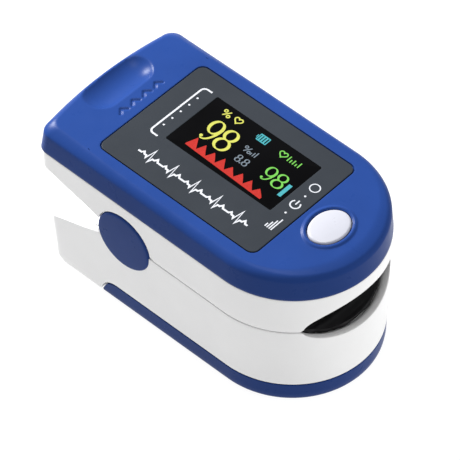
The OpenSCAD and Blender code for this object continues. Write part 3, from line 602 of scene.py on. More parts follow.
def cover_patches():
    """Outer skin of the cover. A ring runs up the side and over the edge; inside it the top is three fields:
    rings that shrink from the nose to the button's well, rings that shrink to the label's seat, and a grid
    over the press end. The scoop is cut by taking the lower of the skin and the scoop's own surface."""
    s = sizes()
    rows = 64
    back = np.linspace(0, 1, rows)
    seat_half = np.array([(LABEL_HI[0] - LABEL_LO[0]) / 2, (LABEL_HI[1] - LABEL_LO[1]) / 2]) + 0.1
    field_y = LABEL_Y + seat_half[1] + 0.45
    nose_turn = np.linspace(0, math.pi / 2, 66)
    top_inset = 0.4 + s.cover_edge
    flat_end = REAR_Y - top_inset - (HALF_W - top_inset - s.corner) ** 2 / (2 * s.bow) - s.corner
    flat_start = NOSE_Y + HALF_W
    field_share = (field_y - flat_start) / (flat_end - flat_start)
    side = np.concatenate([np.linspace(0, field_share, 60)[1:],
                           field_share + (1 - field_share) * back[1:]])
    half = half_outline(nose_turn, side[:-1], quarter(15), np.linspace(1, 0, 62)[1:])
    stations = whole_outline(half)
    kind, value = stations[0].reshape(-1, 1), stations[1].reshape(-1, 1)
    # Ring up the side, over the edge and up the brow
    noseness = np.where(kind == 0, np.cos(np.where(kind == 0, value, 0)) ** 2, 0)
    base, edge = TOP_Z - s.cover_height, TOP_Z - s.cover_drop
    end = math.pi / 2 - 0.3 * noseness
    q = np.linspace(0, 1, 11)[None, 1:] * end
    across = (1 - np.cos(q) ** 1.25) / (1 - np.cos(end) ** 1.25)
    rise = (np.sin(q) / np.sin(end)) ** 1.25
    t = np.linspace(0, 1, 7)[None, 1:]
    low = np.array([[0.15, 0.04, 0.0]]) + 0 * noseness
    wall = np.linspace(0, 0.4, 6)[None, 1:] + 0 * noseness
    round_in = (s.cover_edge - 0.6 * noseness) * across
    brow_in = s.cover_edge - 0.6 * noseness + s.cover_brow * noseness * t
    inset = np.concatenate([low, wall, 0.4 + round_in, 0.4 + brow_in], 1)
    foot = base + np.array([[0.0, 0.04, 0.15]]) + 0 * noseness
    side_z = np.linspace(base, edge, 6)[None, 1:] + 0 * noseness
    round_z = edge + (s.cover_drop - s.brow_drop * noseness) * rise
    brow_z = TOP_Z - s.brow_drop * noseness * (1 - t) ** 1.5
    z = np.concatenate([foot, side_z, round_z, brow_z], 1)
    x, y = plan(stations, HALF_W, NOSE_Y, REAR_Y, s.corner + np.minimum(inset, top_inset), s.bow, inset)
    taper = 1 - 0.035 * ramp(y, 6, 26) * ramp(z, edge, TOP_Z)
    ring = np.stack([x * taper, y, z], -1)
    rim = ring[:, -1, :2]
    n_nose, n_side = len(nose_turn), len(side) - 1
    n_half = len(half[0])
    cut = int(np.argmin(np.abs(rim[:n_nose, 1] - (LABEL_Y - seat_half[1] - 0.4))))
    right = np.arange(0, n_half)
    left = (-right) % len(rim)
    line = np.linspace(-1, 1, 98)[1:-1, None]
    cut_line = np.column_stack([rim[cut, 0] * line[:, 0], np.full(len(line), rim[cut, 1])])
    # Nose field, down into the button's well
    button = np.array([(BUTTON_HI[0] - BUTTON_LO[0]) / 2 - 0.6, (BUTTON_HI[1] - BUTTON_LO[1]) / 2 - 0.6])
    outer = np.concatenate([rim[left[cut:0:-1]], rim[right[:cut + 1]], cut_line[::-1]])
    unit = (outer - [0, BUTTON_Y]) / button
    unit /= np.linalg.norm(unit, axis=1)[:, None]
    def well(grow, depth):
        return np.column_stack([unit * (button + grow) + [0, BUTTON_Y], np.full(len(unit), TOP_Z - depth)])
    flat = np.column_stack([outer, np.full(len(outer), TOP_Z)])
    field = [flat + (well(s.collar + 0.05, 0) - flat) * t for t in np.linspace(0, 1, 7)]
    share = np.linspace(0, 1, 13)[1:]
    collar = [well(0.15 + (s.collar - 0.1) * (1 - t),
                   -s.collar_height * (ramp(t, 0, 0.62) - 0.75 * ramp(t, 0.7, 1))) for t in share]
    throat = [well(0.15, d) for d in (0.05, 0.5, 1.3)]
    nose_field = np.stack(field + collar + throat)
    # Label field, down into the seat
    n_front = n_nose + int(np.argmin(np.abs(side[:-1] - field_share)))
    cols = np.concatenate([left[n_nose + n_side:n_half], right[n_nose + n_side:n_half - 1][::-1]])
    order = np.argsort(rim[cols, 0])
    cols = cols[order]
    front_line = np.column_stack([rim[cols, 0], np.full(len(cols), rim[n_front, 1])])
    outer = np.concatenate([rim[right[cut:n_front]], front_line[::-1], rim[left[n_front - 1:cut - 1:-1]],
                            cut_line])
    seat = seat_point(outer - [0, LABEL_Y], seat_half, 1.5)
    def step(shrink, depth):
        return np.column_stack([seat * (1 - shrink / seat_half) + [0, LABEL_Y],
                                np.full(len(seat), TOP_Z - depth)])
    flat = np.column_stack([outer, np.full(len(outer), TOP_Z)])
    seat_depth = LABEL_HI[2] - LABEL_LO[2] + 0.02
    label_field = np.stack([flat + (step(-0.12, 0) - flat) * t for t in np.linspace(0, 1, 5)]
                           + [step(-0.03, 0.03), step(0, 0.1), step(0, seat_depth), step(4.2, seat_depth)])
    # Press end, with the arrows
    rear = rim[cols]
    grid = front_line[:, None] + (rear - front_line)[:, None] * back[None, :, None]
    grid[..., 0] *= rim[n_front:n_front + rows, 0] / grid[-1, :, 0]
    arrows = chevron_depth(grid[..., 0], grid[..., 1], (field_y + SCOOP_Y - s.scoop_length / 2) / 2)
    press_field = np.concatenate([grid, (TOP_Z - arrows)[..., None]], -1)
    patches = [patch(ring, wrap_rows=True), patch(nose_field, wrap_cols=True),
               patch(label_field, wrap_cols=True), patch(press_field)]
    for points, _, _ in patches:
        points[..., 2] = soft_min(points[..., 2], scoop_height(points[..., 0], points[..., 1]), 0.16)
    return patches


class OXIMETER_OT_top_cover(bpy.types.Operator):
    """Blue cover with its label seat, button well, scoop and arrows"""
    bl_idname = "oximeter.top_cover"
    bl_label = "Top cover"

    def execute(self, context):
        piece("cover_moulding", turned(cover_patches()), "upper", finishes()["cover_blue"],
              ["top_cover"], thickness=0.85)
        return {"FINISHED"}


# ---- Label, screen and printing ------------------------------------------------------------------

def ribbon(path, width, z, height=0.03, closed=False):
    """Raised line: at each point of the path, a flat section of the given width across it."""
    path = np.asarray(path, float)
    if closed:
        ahead = np.roll(path, -1, 0) - np.roll(path, 1, 0)
    else:
        ahead = np.gradient(path, axis=0)
    ahead /= np.maximum(np.linalg.norm(ahead, axis=1), 1e-9)[:, None]
    across = np.stack([-ahead[:, 1], ahead[:, 0]], -1) * (np.broadcast_to(width, len(path)) / 2)[:, None]
    low, high = np.full((len(path), 1), z), np.full((len(path), 1), z + height)
    rows = np.stack([np.hstack([path + across, low]), np.hstack([path + 0.9 * across, high]),
                     np.hstack([path - 0.9 * across, high]), np.hstack([path - across, low])], 1)
    return patch(rows, True, True) if closed else patch(poled(rows), wrap_cols=True)


def on_label(items):
    """From reading position (along, up), with its middle on the label's, to the frame: the reading direction
    runs to the nose and up is to the right-hand side."""
    out = []
    for points, wrap_rows, wrap_cols in items:
        turned_points = np.stack([points[..., 1], LABEL_Y - points[..., 0], points[..., 2]], -1)
        out.append((turned_points, wrap_rows, wrap_cols))
    return out


def zigzag(path, width, z, height=0.03):
    """Line with mitred corners: at each corner both sides are moved out along the bisector."""
    path = np.asarray(path, float)
    way = np.diff(path, axis=0)
    way /= np.linalg.norm(way, axis=1)[:, None]
    normal = np.stack([-way[:, 1], way[:, 0]], -1)
    first, second = np.concatenate([normal[:1], normal]), np.concatenate([normal, normal[-1:]])
    bisector = first + second
    bisector /= np.linalg.norm(bisector, axis=1)[:, None]
    across = bisector * (width / 2 / np.maximum((bisector * first).sum(1), 0.45))[:, None]
    low, high = np.full((len(path), 1), z), np.full((len(path), 1), z + height)
    rows = np.stack([np.hstack([path + across, low]), np.hstack([path + across, high]),
                     np.hstack([path - across, high]), np.hstack([path - across, low])], 1)
    return patch(poled(rows), wrap_cols=True)


def arc(centre, a, b, start, end, n=40):
    """Points of an elliptical arc, angles in degrees."""
    t = np.radians(np.linspace(start, end, n))
    return np.stack([centre[0] + a * np.cos(t), centre[1] + b * np.sin(t)], -1)


def eight(x, y, w, h, stroke, z):
    """Figure eight: two closed loops whose strokes are thin at top and bottom and thick at the sides."""
    t = np.linspace(0, TAU, 48, endpoint=False)
    fat = stroke * (0.45 + 0.75 * np.abs(np.cos(t)))
    loops = (((x + w / 2, y + h * 0.73), w * 0.38, h * 0.235),
             ((x + w / 2, y + h * 0.26), w * 0.44, h * 0.25))
    return [ribbon(np.stack([c[0] + a * np.cos(t), c[1] + b * np.sin(t)], -1), fat, z, closed=True)
            for c, a, b in loops]


def nine(x, y, w, h, stroke, z):
    """Figure nine: a closed loop, a tail that sweeps down from its right side, and a round end."""
    t = np.linspace(0, TAU, 48, endpoint=False)
    fat = stroke * (0.45 + 0.75 * np.abs(np.cos(t)))
    loop = np.stack([x + w * (0.47 + 0.40 * np.cos(t)), y + h * (0.68 + 0.30 * np.sin(t))], -1)
    tail = arc((x + w * 0.30, y + h * 0.66), w * 0.58, h * 0.64, 8, -98, 36)
    thin = stroke * np.linspace(1.15, 0.45, 36)
    dot = arc((x + w * 0.20, y + h * 0.11), w * 0.06, w * 0.06, 0, 345, 16)
    return [ribbon(loop, fat, z, closed=True), ribbon(tail, thin, z), ribbon(dot, w * 0.11, z, closed=True)]


def per_cent(x, y, size, stroke, z):
    """Two small rings and a slanting stroke."""
    t = np.linspace(0, TAU, 24, endpoint=False)
    rings = [ribbon(np.stack([x + cx * size + 0.2 * size * np.cos(t),
                              y + cy * size + 0.2 * size * np.sin(t)], -1), stroke, z, closed=True)
             for cx, cy in ((0.22, 0.78), (0.98, 0.22))]
    return rings + [ribbon(np.linspace((x + 0.25 * size, y), (x + 0.95 * size, y + size), 4), stroke, z)]


def heart(x, y, size, stroke, z):
    """Heart outline: x is the cube of the sine, y a sum of four cosines."""
    t = np.linspace(0, TAU, 49)[:-1]
    px = 16 * np.sin(t) ** 3
    py = 13 * np.cos(t) - 5 * np.cos(2 * t) - 2 * np.cos(3 * t) - np.cos(4 * t)
    return [ribbon(np.stack([x + size * px / 32, y + size * py / 32], -1), stroke, z, closed=True)]


def bars(x, y, w, heights, pitch, z):
    """Upright strokes of given heights, side by side."""
    return [ribbon(np.linspace((x + i * pitch, y), (x + i * pitch, y + h), 3), w, z)
            for i, h in enumerate(heights)]


def pulse_graph(x0, x1, z):
    """Filled saw-tooth wave: at each place along it, a thin upright section from the base to the wave."""
    along = np.linspace(0, 1, 8 * 12 + 1)
    tooth = (along * 8) % 1
    rise = np.where(tooth < 0.34, tooth / 0.34, 1 - (tooth - 0.34) / 0.66)
    rise[-1] = 0
    peaks = 1.9 - 0.5 * along + 0.22 * np.sin(along * 19)
    base = -2.45 - 0.62 * along
    foot = base + 0.42
    top = foot + rise * peaks
    x = x0 + (x1 - x0) * along
    flat, high = np.full(len(x), z), np.full(len(x), z + 0.03)
    rows = np.stack([np.stack([x, base, flat], -1), np.stack([x, base, high], -1),
                     np.stack([x, top, high], -1), np.stack([x, top, flat], -1)], 1)
    return [patch(poled(rows), wrap_cols=True)]


def beat_trace(x0, x1, y, count, stroke, z):
    """Line of heartbeats: per beat a small wave, a tall spike with a dip on each side, and a low wave."""
    beat = np.array([(0, 0), (0.14, 0), (0.21, 0.42), (0.28, 0), (0.37, 0), (0.42, -0.45), (0.50, 1.8),
                     (0.59, -1.0), (0.65, 0), (0.74, 0), (0.81, 0.55), (0.89, 0)])
    pitch = (x1 - x0) / count
    points = np.concatenate([beat * [pitch, 1] + [x0 + i * pitch, y] for i in range(count)] + [[[x1, y]]])
    return [zigzag(points, stroke, z)]


class OXIMETER_OT_label(bpy.types.Operator):
    """Grey label with a window, and the screen glass in the window"""
    bl_idname = "oximeter.label"
    bl_label = "Label and glass"

    def execute(self, context):
        window_lo, window_hi = node_box("display_module", True)
        size = LABEL_HI[:2] - LABEL_LO[:2] - 2 * LABEL_SLACK
        centre = (LABEL_LO[:2] + LABEL_HI[:2]) / 2
        win_centre = [(window_lo[0] + window_hi[0]) / 2, LABEL_Y - 1.3]
        win_size = [12.4, 22.7]
        outer, inner = rounded_rect(centre, size, 1.4), rounded_rect(win_centre, win_size, 0.25)
        z0, z1 = LABEL_LO[2], LABEL_HI[2]
        rows = [(outer(0.05), z0), (outer(0), z0 + 0.05), (outer(0), z1 - 0.1), (outer(0.03), z1 - 0.03),
                (outer(0.1), z1), (outer(0.16), z1), (inner(-0.12), z1), (inner(-0.04), z1),
                (inner(0), z1 - 0.03), (inner(0), z0)]
        film = np.stack([np.column_stack([loop, np.full(len(loop), z)]) for loop, z in rows])
        piece("label_film", turned([patch(film, True, True)]), "upper",
              finishes()["label_grey"], ["display_lens"])
        glass = plate(rounded_rect(win_centre, [v - 0.04 for v in win_size], 0.22), slab(z0, z1 - 0.06, 0.04))
        piece("screen_glass", turned([glass]), "upper", finishes()["screen_black"])
        return {"FINISHED"}


class OXIMETER_OT_screen_marks(bpy.types.Operator):
    """Lit figures, battery sign, bar and pulse wave on the screen"""
    bl_idname = "oximeter.screen_marks"
    bl_label = "Screen figures"

    def execute(self, context):
        z = LABEL_HI[2] - 0.065
        yellow = nine(-6.85, 0.15, 2.75, 5.0, 0.5, z) + eight(-3.95, 0.15, 2.85, 5.0, 0.5, z)
        yellow += per_cent(-7.2, 6.35, 1.35, 0.24, z) + heart(-4.0, 7.1, 1.5, 0.24, z)
        green = nine(6.4, 0.3, 2.05, 3.3, 0.34, z) + eight(8.6, 0.3, 2.1, 3.3, 0.34, z)
        green += heart(6.2, 6.6, 1.5, 0.22, z) + bars(7.5, 5.95, 0.22, (1.2, 0.7, 1.0, 0.55, 1.2), 0.55, z)
        grey = eight(1.05, 0.35, 0.95, 1.6, 0.2, z) + eight(2.5, 0.35, 0.95, 1.6, 0.2, z)
        grey += bars(2.25, 0.35, 0.24, (0.24,), 1, z) + per_cent(0.6, 2.85, 1.25, 0.18, z)
        grey += bars(2.3, 2.85, 0.18, (0.55, 0.9, 1.25), 0.45, z)
        t = rounded_rect((1.65, 6.85), (2.1, 1.6), 0.12, 4, 3)
        cyan = [ribbon(t(0.1), 0.2, z, closed=True)] + bars(1.1, 6.2, 0.32, (1.25,) * 3, 0.5, z)
        cyan += bars(0.42, 6.55, 0.16, (0.6,), 1, z) + bars(11.5, -0.5, 0.72, (3.0,), 1, z)
        for name, items in (("yellow", yellow), ("green", green), ("grey", grey), ("cyan", cyan),
                            ("red", pulse_graph(-6.9, 9.8, z))):
            piece("screen_" + name, turned(on_label(items)), "upper",
                  finishes()["glow_" + name])
        return {"FINISHED"}


class OXIMETER_OT_printing(bpy.types.Operator):
    """White marks printed on the label"""
    bl_idname = "oximeter.printing"
    bl_label = "Printed marks"

    def execute(self, context):
        s = sizes()
        z = LABEL_HI[2] - 0.012
        stroke = s.stroke
        # Bracket with round corners, and its five dots
        bend = arc((-12.2, 7.9), 0.85, 0.85, 90, 180, 12)
        low = arc((-12.2, -3.45), 0.85, 0.85, 180, 270, 12)
        bracket = np.concatenate([np.linspace((-11.25, 8.75), (-12.1, 8.75), 4), bend,
                                  np.linspace((-13.05, 7.6), (-13.05, -3.2), 20), low,
                                  np.linspace((-12.1, -4.3), (-11.25, -4.3), 4)])
        marks = [ribbon(bracket, stroke, z)]
        dot = np.linspace(0, TAU, 17)[:-1]
        dots = [(-12.2, 6.22 - 2.0 * i, 0.1) for i in range(5)] + [(14.72, 2.25, 0.1), (14.72, -2.4, 0.1)]
        marks += [ribbon(np.stack([x + r * np.cos(dot), y + r * np.sin(dot)], -1), 2 * r * 0.98, z,
                         closed=True) for x, y, r in dots]
        # Ring, power sign and a sign of growing bars, in a column at the nose end
        marks += [ribbon(arc((14.72, 4.6), 0.86, 0.86, 0, 352.5, 48), 0.22, z, closed=True)]
        marks += [ribbon(arc((14.72, -0.1), 0.84, 0.84, 132, 408, 40), 0.26, z),
                  ribbon(np.linspace((14.72, -0.1), (14.72, 0.95), 4), 0.26, z)]
        marks += bars(14.15, -6.7, 0.24, (0.8, 1.5, 2.2, 2.9), 0.42, z)
        marks += beat_trace(-11.4, 12.2, -8.55, s.beats, stroke * 0.95, z)
        piece("label_print", turned(on_label(marks)), "upper", finishes()["print_white"])
        return {"FINISHED"}


# ---- Button --------------------------------------------------------------------------------------

class OXIMETER_OT_button(bpy.types.Operator):
    """White oval button: a low dome with a soft edge, its flange and its stem"""
    bl_idname = "oximeter.button"
    bl_label = "Power button"

    def execute(self, context):
        a, b = (BUTTON_HI[0] - BUTTON_LO[0]) / 2 - 0.6, (BUTTON_HI[1] - BUTTON_LO[1]) / 2 - 0.6
        top, low = BUTTON_HI[2], TOP_Z - 1.85
        dome = np.linspace(0.02, 0.86, 10)
        q = quarter(7)
        share = np.concatenate([dome, 0.86 + 0.14 * np.sin(q[1:])])
        drop = np.concatenate([0.16 * (dome / 0.86) ** 2, 0.16 + 0.42 * (1 - np.cos(q[1:]))])
        t = np.linspace(0, TAU, 96, endpoint=False)
        rows = [np.stack([a * k * np.cos(t), BUTTON_Y + b * k * np.sin(t), 0 * t + top - d], -1)
                for k, d in zip(share, drop)]
        flange = ((0, low + 0.62), (0.55, low + 0.58), (0.6, low + 0.5), (0.6, low + 0.05), (0.55, low))
        for grow, z in flange:
            rows.append(np.stack([(a + grow) * np.cos(t), BUTTON_Y + (b + grow) * np.sin(t), 0 * t + z], -1))
        stem_z = BUTTON_LO[2]
        for r, z in ((1.15, low), (1.0, low - 0.1), (1.0, stem_z + 0.1), (0.9, stem_z)):
            rows.append(np.stack([r * np.cos(t), BUTTON_Y + r * np.sin(t), 0 * t + z], -1))
        piece("button_cap", turned([patch(poled(np.stack(rows)), wrap_cols=True)]), "button",
              finishes()["button_white"], ["power_button"])
        return {"FINISHED"}


# ---- White shells --------------------------------------------------------------------------------

def case_stations(rear, notches, extra_y):
    """Stations that put points on the edges of the finger opening and of each round notch on the sides."""
    s = sizes()
    fine = np.linspace(0, math.pi / 2, 40)
    opening = np.arcsin(s.opening / 2 * np.sin(fine) / HALF_W)
    nose = np.concatenate([opening, np.linspace(opening[-1], math.pi / 2, 26)[1:]])
    start = NOSE_Y + HALF_W
    end = side_end(rear)
    ys = [np.linspace(start, end, 40)[1:-1], np.array(extra_y)]
    for centre, radius in notches:
        ys.append(centre + radius * np.sin(np.linspace(-math.pi / 2, math.pi / 2, 41)))
    ys = np.unique(np.round(np.concatenate(ys), 3))
    ys = ys[(ys > start + 0.05) & (ys < end - 0.02)]
    return whole_outline(half_outline(nose, side_share(ys, rear), quarter(9), np.linspace(1, 0, 20)[1:]))


def plan_loop(stations, rear, inset, keep, front_y):
    """Closed loop of the outline behind (keep = 1) or in front of (keep = -1) front_y, moved in by inset."""
    s = sizes()
    x, y = plan(stations, HALF_W, NOSE_Y, rear, s.corner, s.bow, np.array([[inset]]))
    loop = np.column_stack([x[:, 0], y[:, 0]])
    loop[:, 1] = np.maximum(loop[:, 1], front_y) if keep > 0 else np.minimum(loop[:, 1], front_y)
    return loop


def sloped_plate(loop, low, thickness):
    """Plate under a closed loop: bottom at low(x, y), edges dropped straight, with a pole in the middle."""
    centre = loop.mean(0)
    rows = []
    for share, lift in ((0.02, 0), (0.5, 0), (1.0, 0), (1.0, thickness), (0.5, thickness), (0.02, thickness)):
        xy = centre + (loop - centre) * share
        rows.append(np.column_stack([xy, low(xy[:, 0], xy[:, 1]) + lift]))
    return patch(poled(np.stack(rows)), wrap_cols=True)


def notch(y, radius):
    """Height of a circle about the hinge axis, above that axis."""
    return np.sqrt(np.maximum(radius ** 2 - (y - HINGE[1]) ** 2, 0))


class OXIMETER_OT_upper_frame(bpy.types.Operator):
    """White frame under the cover: side wall with the arch and the hinge notches, floor, press end, cheeks"""
    bl_idname = "oximeter.upper_frame"
    bl_label = "Upper frame"

    def execute(self, context):
        s = sizes()
        clear_r = CAP_R + 0.15
        slope = math.tan(math.radians(s.upper_slope))
        seam = SEAM_Z + 0.07
        half_open = s.opening / 2
        cover_base = TOP_Z - s.cover_height

        def low(x, y):
            edge = np.maximum(seam, HINGE[2] + (y - HINGE[1]) * slope)
            inside = (np.abs(y - HINGE[1]) < clear_r)
            edge = np.where(inside, np.maximum(edge, HINGE[2] + notch(y, clear_r)), edge)
            rise = SEAM_Z + s.arch * np.sqrt(np.clip(1 - (x / half_open) ** 2, 0, 1))
            return np.where((np.abs(x) < half_open) & (y < NOSE_Y + HALF_W), np.maximum(edge, rise), edge)

        def high(x, y):
            return 0 * x + cover_base - 0.01

        stations = case_stations(REAR_Y - 0.1, [(HINGE[1], clear_r)], [])
        levels = [(seam, 0.1, 0.1, 0.3), (cover_base, 0, 0, 0.1)]
        band = wall_band(stations, levels, REAR_Y, wall_section(s.wall, 0.14, 0.3), low, high, half_open)
        floor_z = SEAM_Z + s.arch + 0.6
        back_y = HINGE[1] + 3.6
        under = sloped_plate(plan_loop(stations, REAR_Y - 0.1, s.wall - 0.1, 1, back_y),
                             lambda x, y: HINGE[2] + (y - HINGE[1]) * slope + 0.03, PLATE)
        floor = sloped_plate(plan_loop(stations, REAR_Y - 0.1, s.wall - 0.1, -1, back_y + PLATE),
                             lambda x, y: 0 * x + floor_z, PLATE)
        back_lo = HINGE[2] + (back_y + PLATE - HINGE[1]) * slope + 0.02
        back_hi = floor_z + 0.7
        back = plate(rounded_rect((0, (back_lo + back_hi) / 2),
                                  (2 * (HALF_W - s.wall), back_hi - back_lo), 0.1),
                     slab(back_y, back_y + PLATE, 0.1))
        patches = [patch(band, True, True), under, floor, on_axis(back, (0, 2, 1))]
        cheek_x, cheek_r, cheek_t = HALF_W - s.wall - 1.85, 3.5, 1.6
        t = np.linspace(math.pi, TAU, 33)
        foot = floor_z - HINGE[2]
        cheek = np.concatenate([np.stack([cheek_r * np.cos(t), cheek_r * np.sin(t)], -1),
                                [[cheek_r, foot], [-cheek_r, foot]]]) + HINGE[1:]
        side = on_axis(sloped_plate(cheek, lambda x, y: 0 * x + cheek_x, cheek_t), (2, 0, 1))
        patches += [side] + mirrored([side])
        piece("frame_moulding", turned(patches), "upper", finishes()["shell_white"],
              ["upper_frame"])
        return {"FINISHED"}


class OXIMETER_OT_lower_shell(bpy.types.Operator):
    """White lower shell: side wall with the dipped lip, hinge ears and door recess, skirt and bulkheads"""
    bl_idname = "oximeter.lower_shell"
    bl_label = "Lower shell"

    def execute(self, context):
        s = sizes()
        seam = SEAM_Z - 0.07
        fall, lean_up = math.tan(math.radians(s.lower_slope)), math.tan(PITCH)
        half_open = s.opening / 2
        ear_r = CAP_R - 0.5
        gap = 0.15
        door_y, door_z = DOOR_Y + gap, DOOR_HI[2] + gap
        turn_y, turn_z = door_y - s.door_end, door_z - s.door_end

        def low(x, y):
            end = turn_z + np.sqrt(np.maximum(s.door_end ** 2 - np.maximum(y - turn_y, 0) ** 2, 0))
            return np.where(y < door_y + 0.005, np.maximum(end, DOOR_LEAST + gap), 0)

        def high(x, y):
            rim = np.minimum(seam + (y - HINGE[1]) * lean_up, HINGE[2] - (y - HINGE[1]) * fall)
            ear = np.abs(y - HINGE[1]) < ear_r
            rim = np.where(ear, np.maximum(rim, HINGE[2] + notch(y, ear_r)), rim)
            dip = SEAM_Z - 0.6 - s.lip * np.sqrt(np.clip(1 - (x / half_open) ** 2, 0, 1))
            return np.where((np.abs(x) < half_open) & (y < NOSE_Y + HALF_W), np.minimum(rim, dip), rim)

        turn_ys = turn_y + s.door_end * np.sin(np.linspace(0, math.pi / 2, 16))
        stations = case_stations(LOWER_REAR_Y, [(HINGE[1], ear_r)],
                                 list(turn_ys) + [door_y - 0.01, door_y + 0.02])
        band = wall_band(stations, LOWER_LEVELS, LOWER_REAR_Y, wall_section(s.wall, 0.16, 0.75, 14),
                         low, high, half_open)
        patches = [patch(band, True, True)]
        # Skirt inside the door's side wall, as far as the door reaches
        x, y = plan(stations, HALF_W, NOSE_Y, LOWER_REAR_Y, s.corner, s.bow, np.array([[0.0]]))
        front = np.flatnonzero(y[:, 0] < door_y + 0.5)
        middle = len(y) // 2
        right, left = front[front < middle], front[front >= middle]
        order = np.concatenate([right[::-1], left[::-1]])
        run = tuple(v[order] for v in stations)
        skirt = wall_band(run, LOWER_LEVELS, LOWER_REAR_Y, wall_section(1.2, 0.1, 0.1, 4),
                          lambda x, y: 0 * x + 1.2, lambda x, y: 0 * x + 4.5, extra=1.45)
        patches.append(patch(poled(skirt), wrap_cols=True))
        bay_end = node_box("battery_plate")[1][1]
        for place, width in ((NOSE_Y + 5.2, 20.2), (bay_end + 0.02, 29.0)):
            bulkhead = plate(rounded_rect((0, 5.6), (width, 8.4), 0.1), slab(place, place + 1.1, 0.1))
            patches.append(on_axis(bulkhead, (0, 2, 1)))
        # Floor behind the door, round the door's tongue
        tongue_x, tongue_y = 12.45, bay_end - 0.25
        inner = np.concatenate([np.linspace((tongue_x, door_y + 0.02), (tongue_x, tongue_y), 12),
                                np.linspace((tongue_x, tongue_y), (-tongue_x, tongue_y), 30)[1:-1],
                                np.linspace((-tongue_x, tongue_y), (-tongue_x, door_y + 0.02), 12)])
        edge_x, edge_y = HALF_W - 1.75, LOWER_REAR_Y - 3.4
        outer = np.concatenate([np.linspace((edge_x, door_y + 0.02), (edge_x, edge_y - 2), 12),
                                np.linspace((edge_x - 0.4, edge_y), (-edge_x + 0.4, edge_y), 30)[1:-1],
                                np.linspace((-edge_x, edge_y - 2), (-edge_x, door_y + 0.02), 12)])
        low_z, high_z = np.full((len(inner), 1), 0.03), np.full((len(inner), 1), 1.4)
        ledge = np.stack([np.hstack([inner, low_z]), np.hstack([outer, low_z]),
                          np.hstack([outer, high_z]), np.hstack([inner, high_z])], 1)
        patches.append(patch(poled(ledge), wrap_cols=True))
        piece("shell_moulding", patches, "lower", finishes()["shell_white"], ["lower_shell"])
        return {"FINISHED"}


class OXIMETER_OT_battery_door(bpy.types.Operator):
    """Blue battery door: side wall round the nose, floor with thumb grooves, and the tongue behind"""
    bl_idname = "oximeter.battery_door"
    bl_label = "Battery door"

    def execute(self, context):
        s = sizes()
        door_y, top = DOOR_Y, DOOR_HI[2]
        grooves = NOSE_Y + 15 + 2.0 * np.arange(-2, 3)
        start = NOSE_Y + HALF_W
        floor_w = HALF_W - 1.3
        marks = np.sort(np.concatenate([grooves + d for d in (-0.5, -0.4, -0.2, 0.2, 0.4, 0.5)]))
        arc_marks = np.arccos((start - marks[marks < start - 0.05]) / floor_w)
        nose = np.unique(np.round(np.concatenate([np.linspace(0, math.pi / 2, 60), arc_marks]), 5))
        turn_y = door_y - s.door_end
        ys = np.concatenate([np.linspace(start, door_y, 30)[1:], marks[marks > start + 0.05],
                             turn_y + s.door_end * np.sin(np.linspace(0, math.pi / 2, 16))])
        ys = np.unique(np.round(ys, 3))
        half = half_outline(nose, side_share(ys, LOWER_REAR_Y), np.array([]), np.array([]))
        kind, value = half
        run = (np.concatenate([kind[::-1], kind[1:]]), np.concatenate([value[::-1], value[1:]]),
               np.concatenate([np.ones(len(kind)), -np.ones(len(kind) - 1)]))
        table = np.array(LOWER_LEVELS)
        up = np.concatenate([[0, 0.15, 0.35, 0.6, 1.0], np.linspace(1.4, top, 8)])
        x, y = plan(run, HALF_W, NOSE_Y, LOWER_REAR_Y, s.corner, s.bow, np.array([[0.0]]))
        end_arc = np.sqrt(np.maximum(s.door_end ** 2 - (y - turn_y) ** 2, 0))
        limit = np.maximum(np.where(y > turn_y, top - s.door_end + end_arc, top), DOOR_LEAST)
        z = up[None, :] * np.clip(limit / top, 0, 1)
        narrow, nose_in, rear_in = (np.interp(z, table[:, 0], table[:, k]) for k in (1, 2, 3))
        x, y = plan(run, HALF_W - narrow, NOSE_Y + nose_in, LOWER_REAR_Y - rear_in, s.corner, s.bow, 0 * z,
                    hold=side_end(LOWER_REAR_Y))
        y = np.minimum(y, door_y)
        wall = np.stack([x, y, z], -1)
        foot = wall[:, 0]
        across = np.concatenate([np.linspace(0, 0.3, 6), np.linspace(0.3, 0.7, 12)[1:-1],
                                 np.linspace(0.7, 1, 6)])
        n = len(kind)
        right, left = foot[:n][::-1], foot[n - 1:]
        floor = right[:, None] + (left - right)[:, None] * across[None, :, None]
        near = np.abs(floor[..., 1:2] - grooves).min(-1)
        sunk = (1 - ramp(near, 0.2, 0.45)) * (1 - ramp(np.abs(floor[..., 0]), 6.0, 6.7))
        floor[..., 2] = 0.4 * sunk
        piece("door_moulding", [patch(wall), patch(floor)], "door",
              finishes()["cover_blue"], ["battery_door"], thickness=0.95, bevel=0.12)
        tongue_end = node_box("battery_door")[1][1]
        tongue = plate(rounded_rect((0, (door_y + tongue_end) / 2), (24.6, tongue_end - door_y), 1.2),
                       slab(0.0, 0.98, 0.2))
        piece("door_tongue", [tongue], "door", finishes()["cover_blue"])
        return {"FINISHED"}


# ---- Hinge ---------------------------------------------------------------------------------------

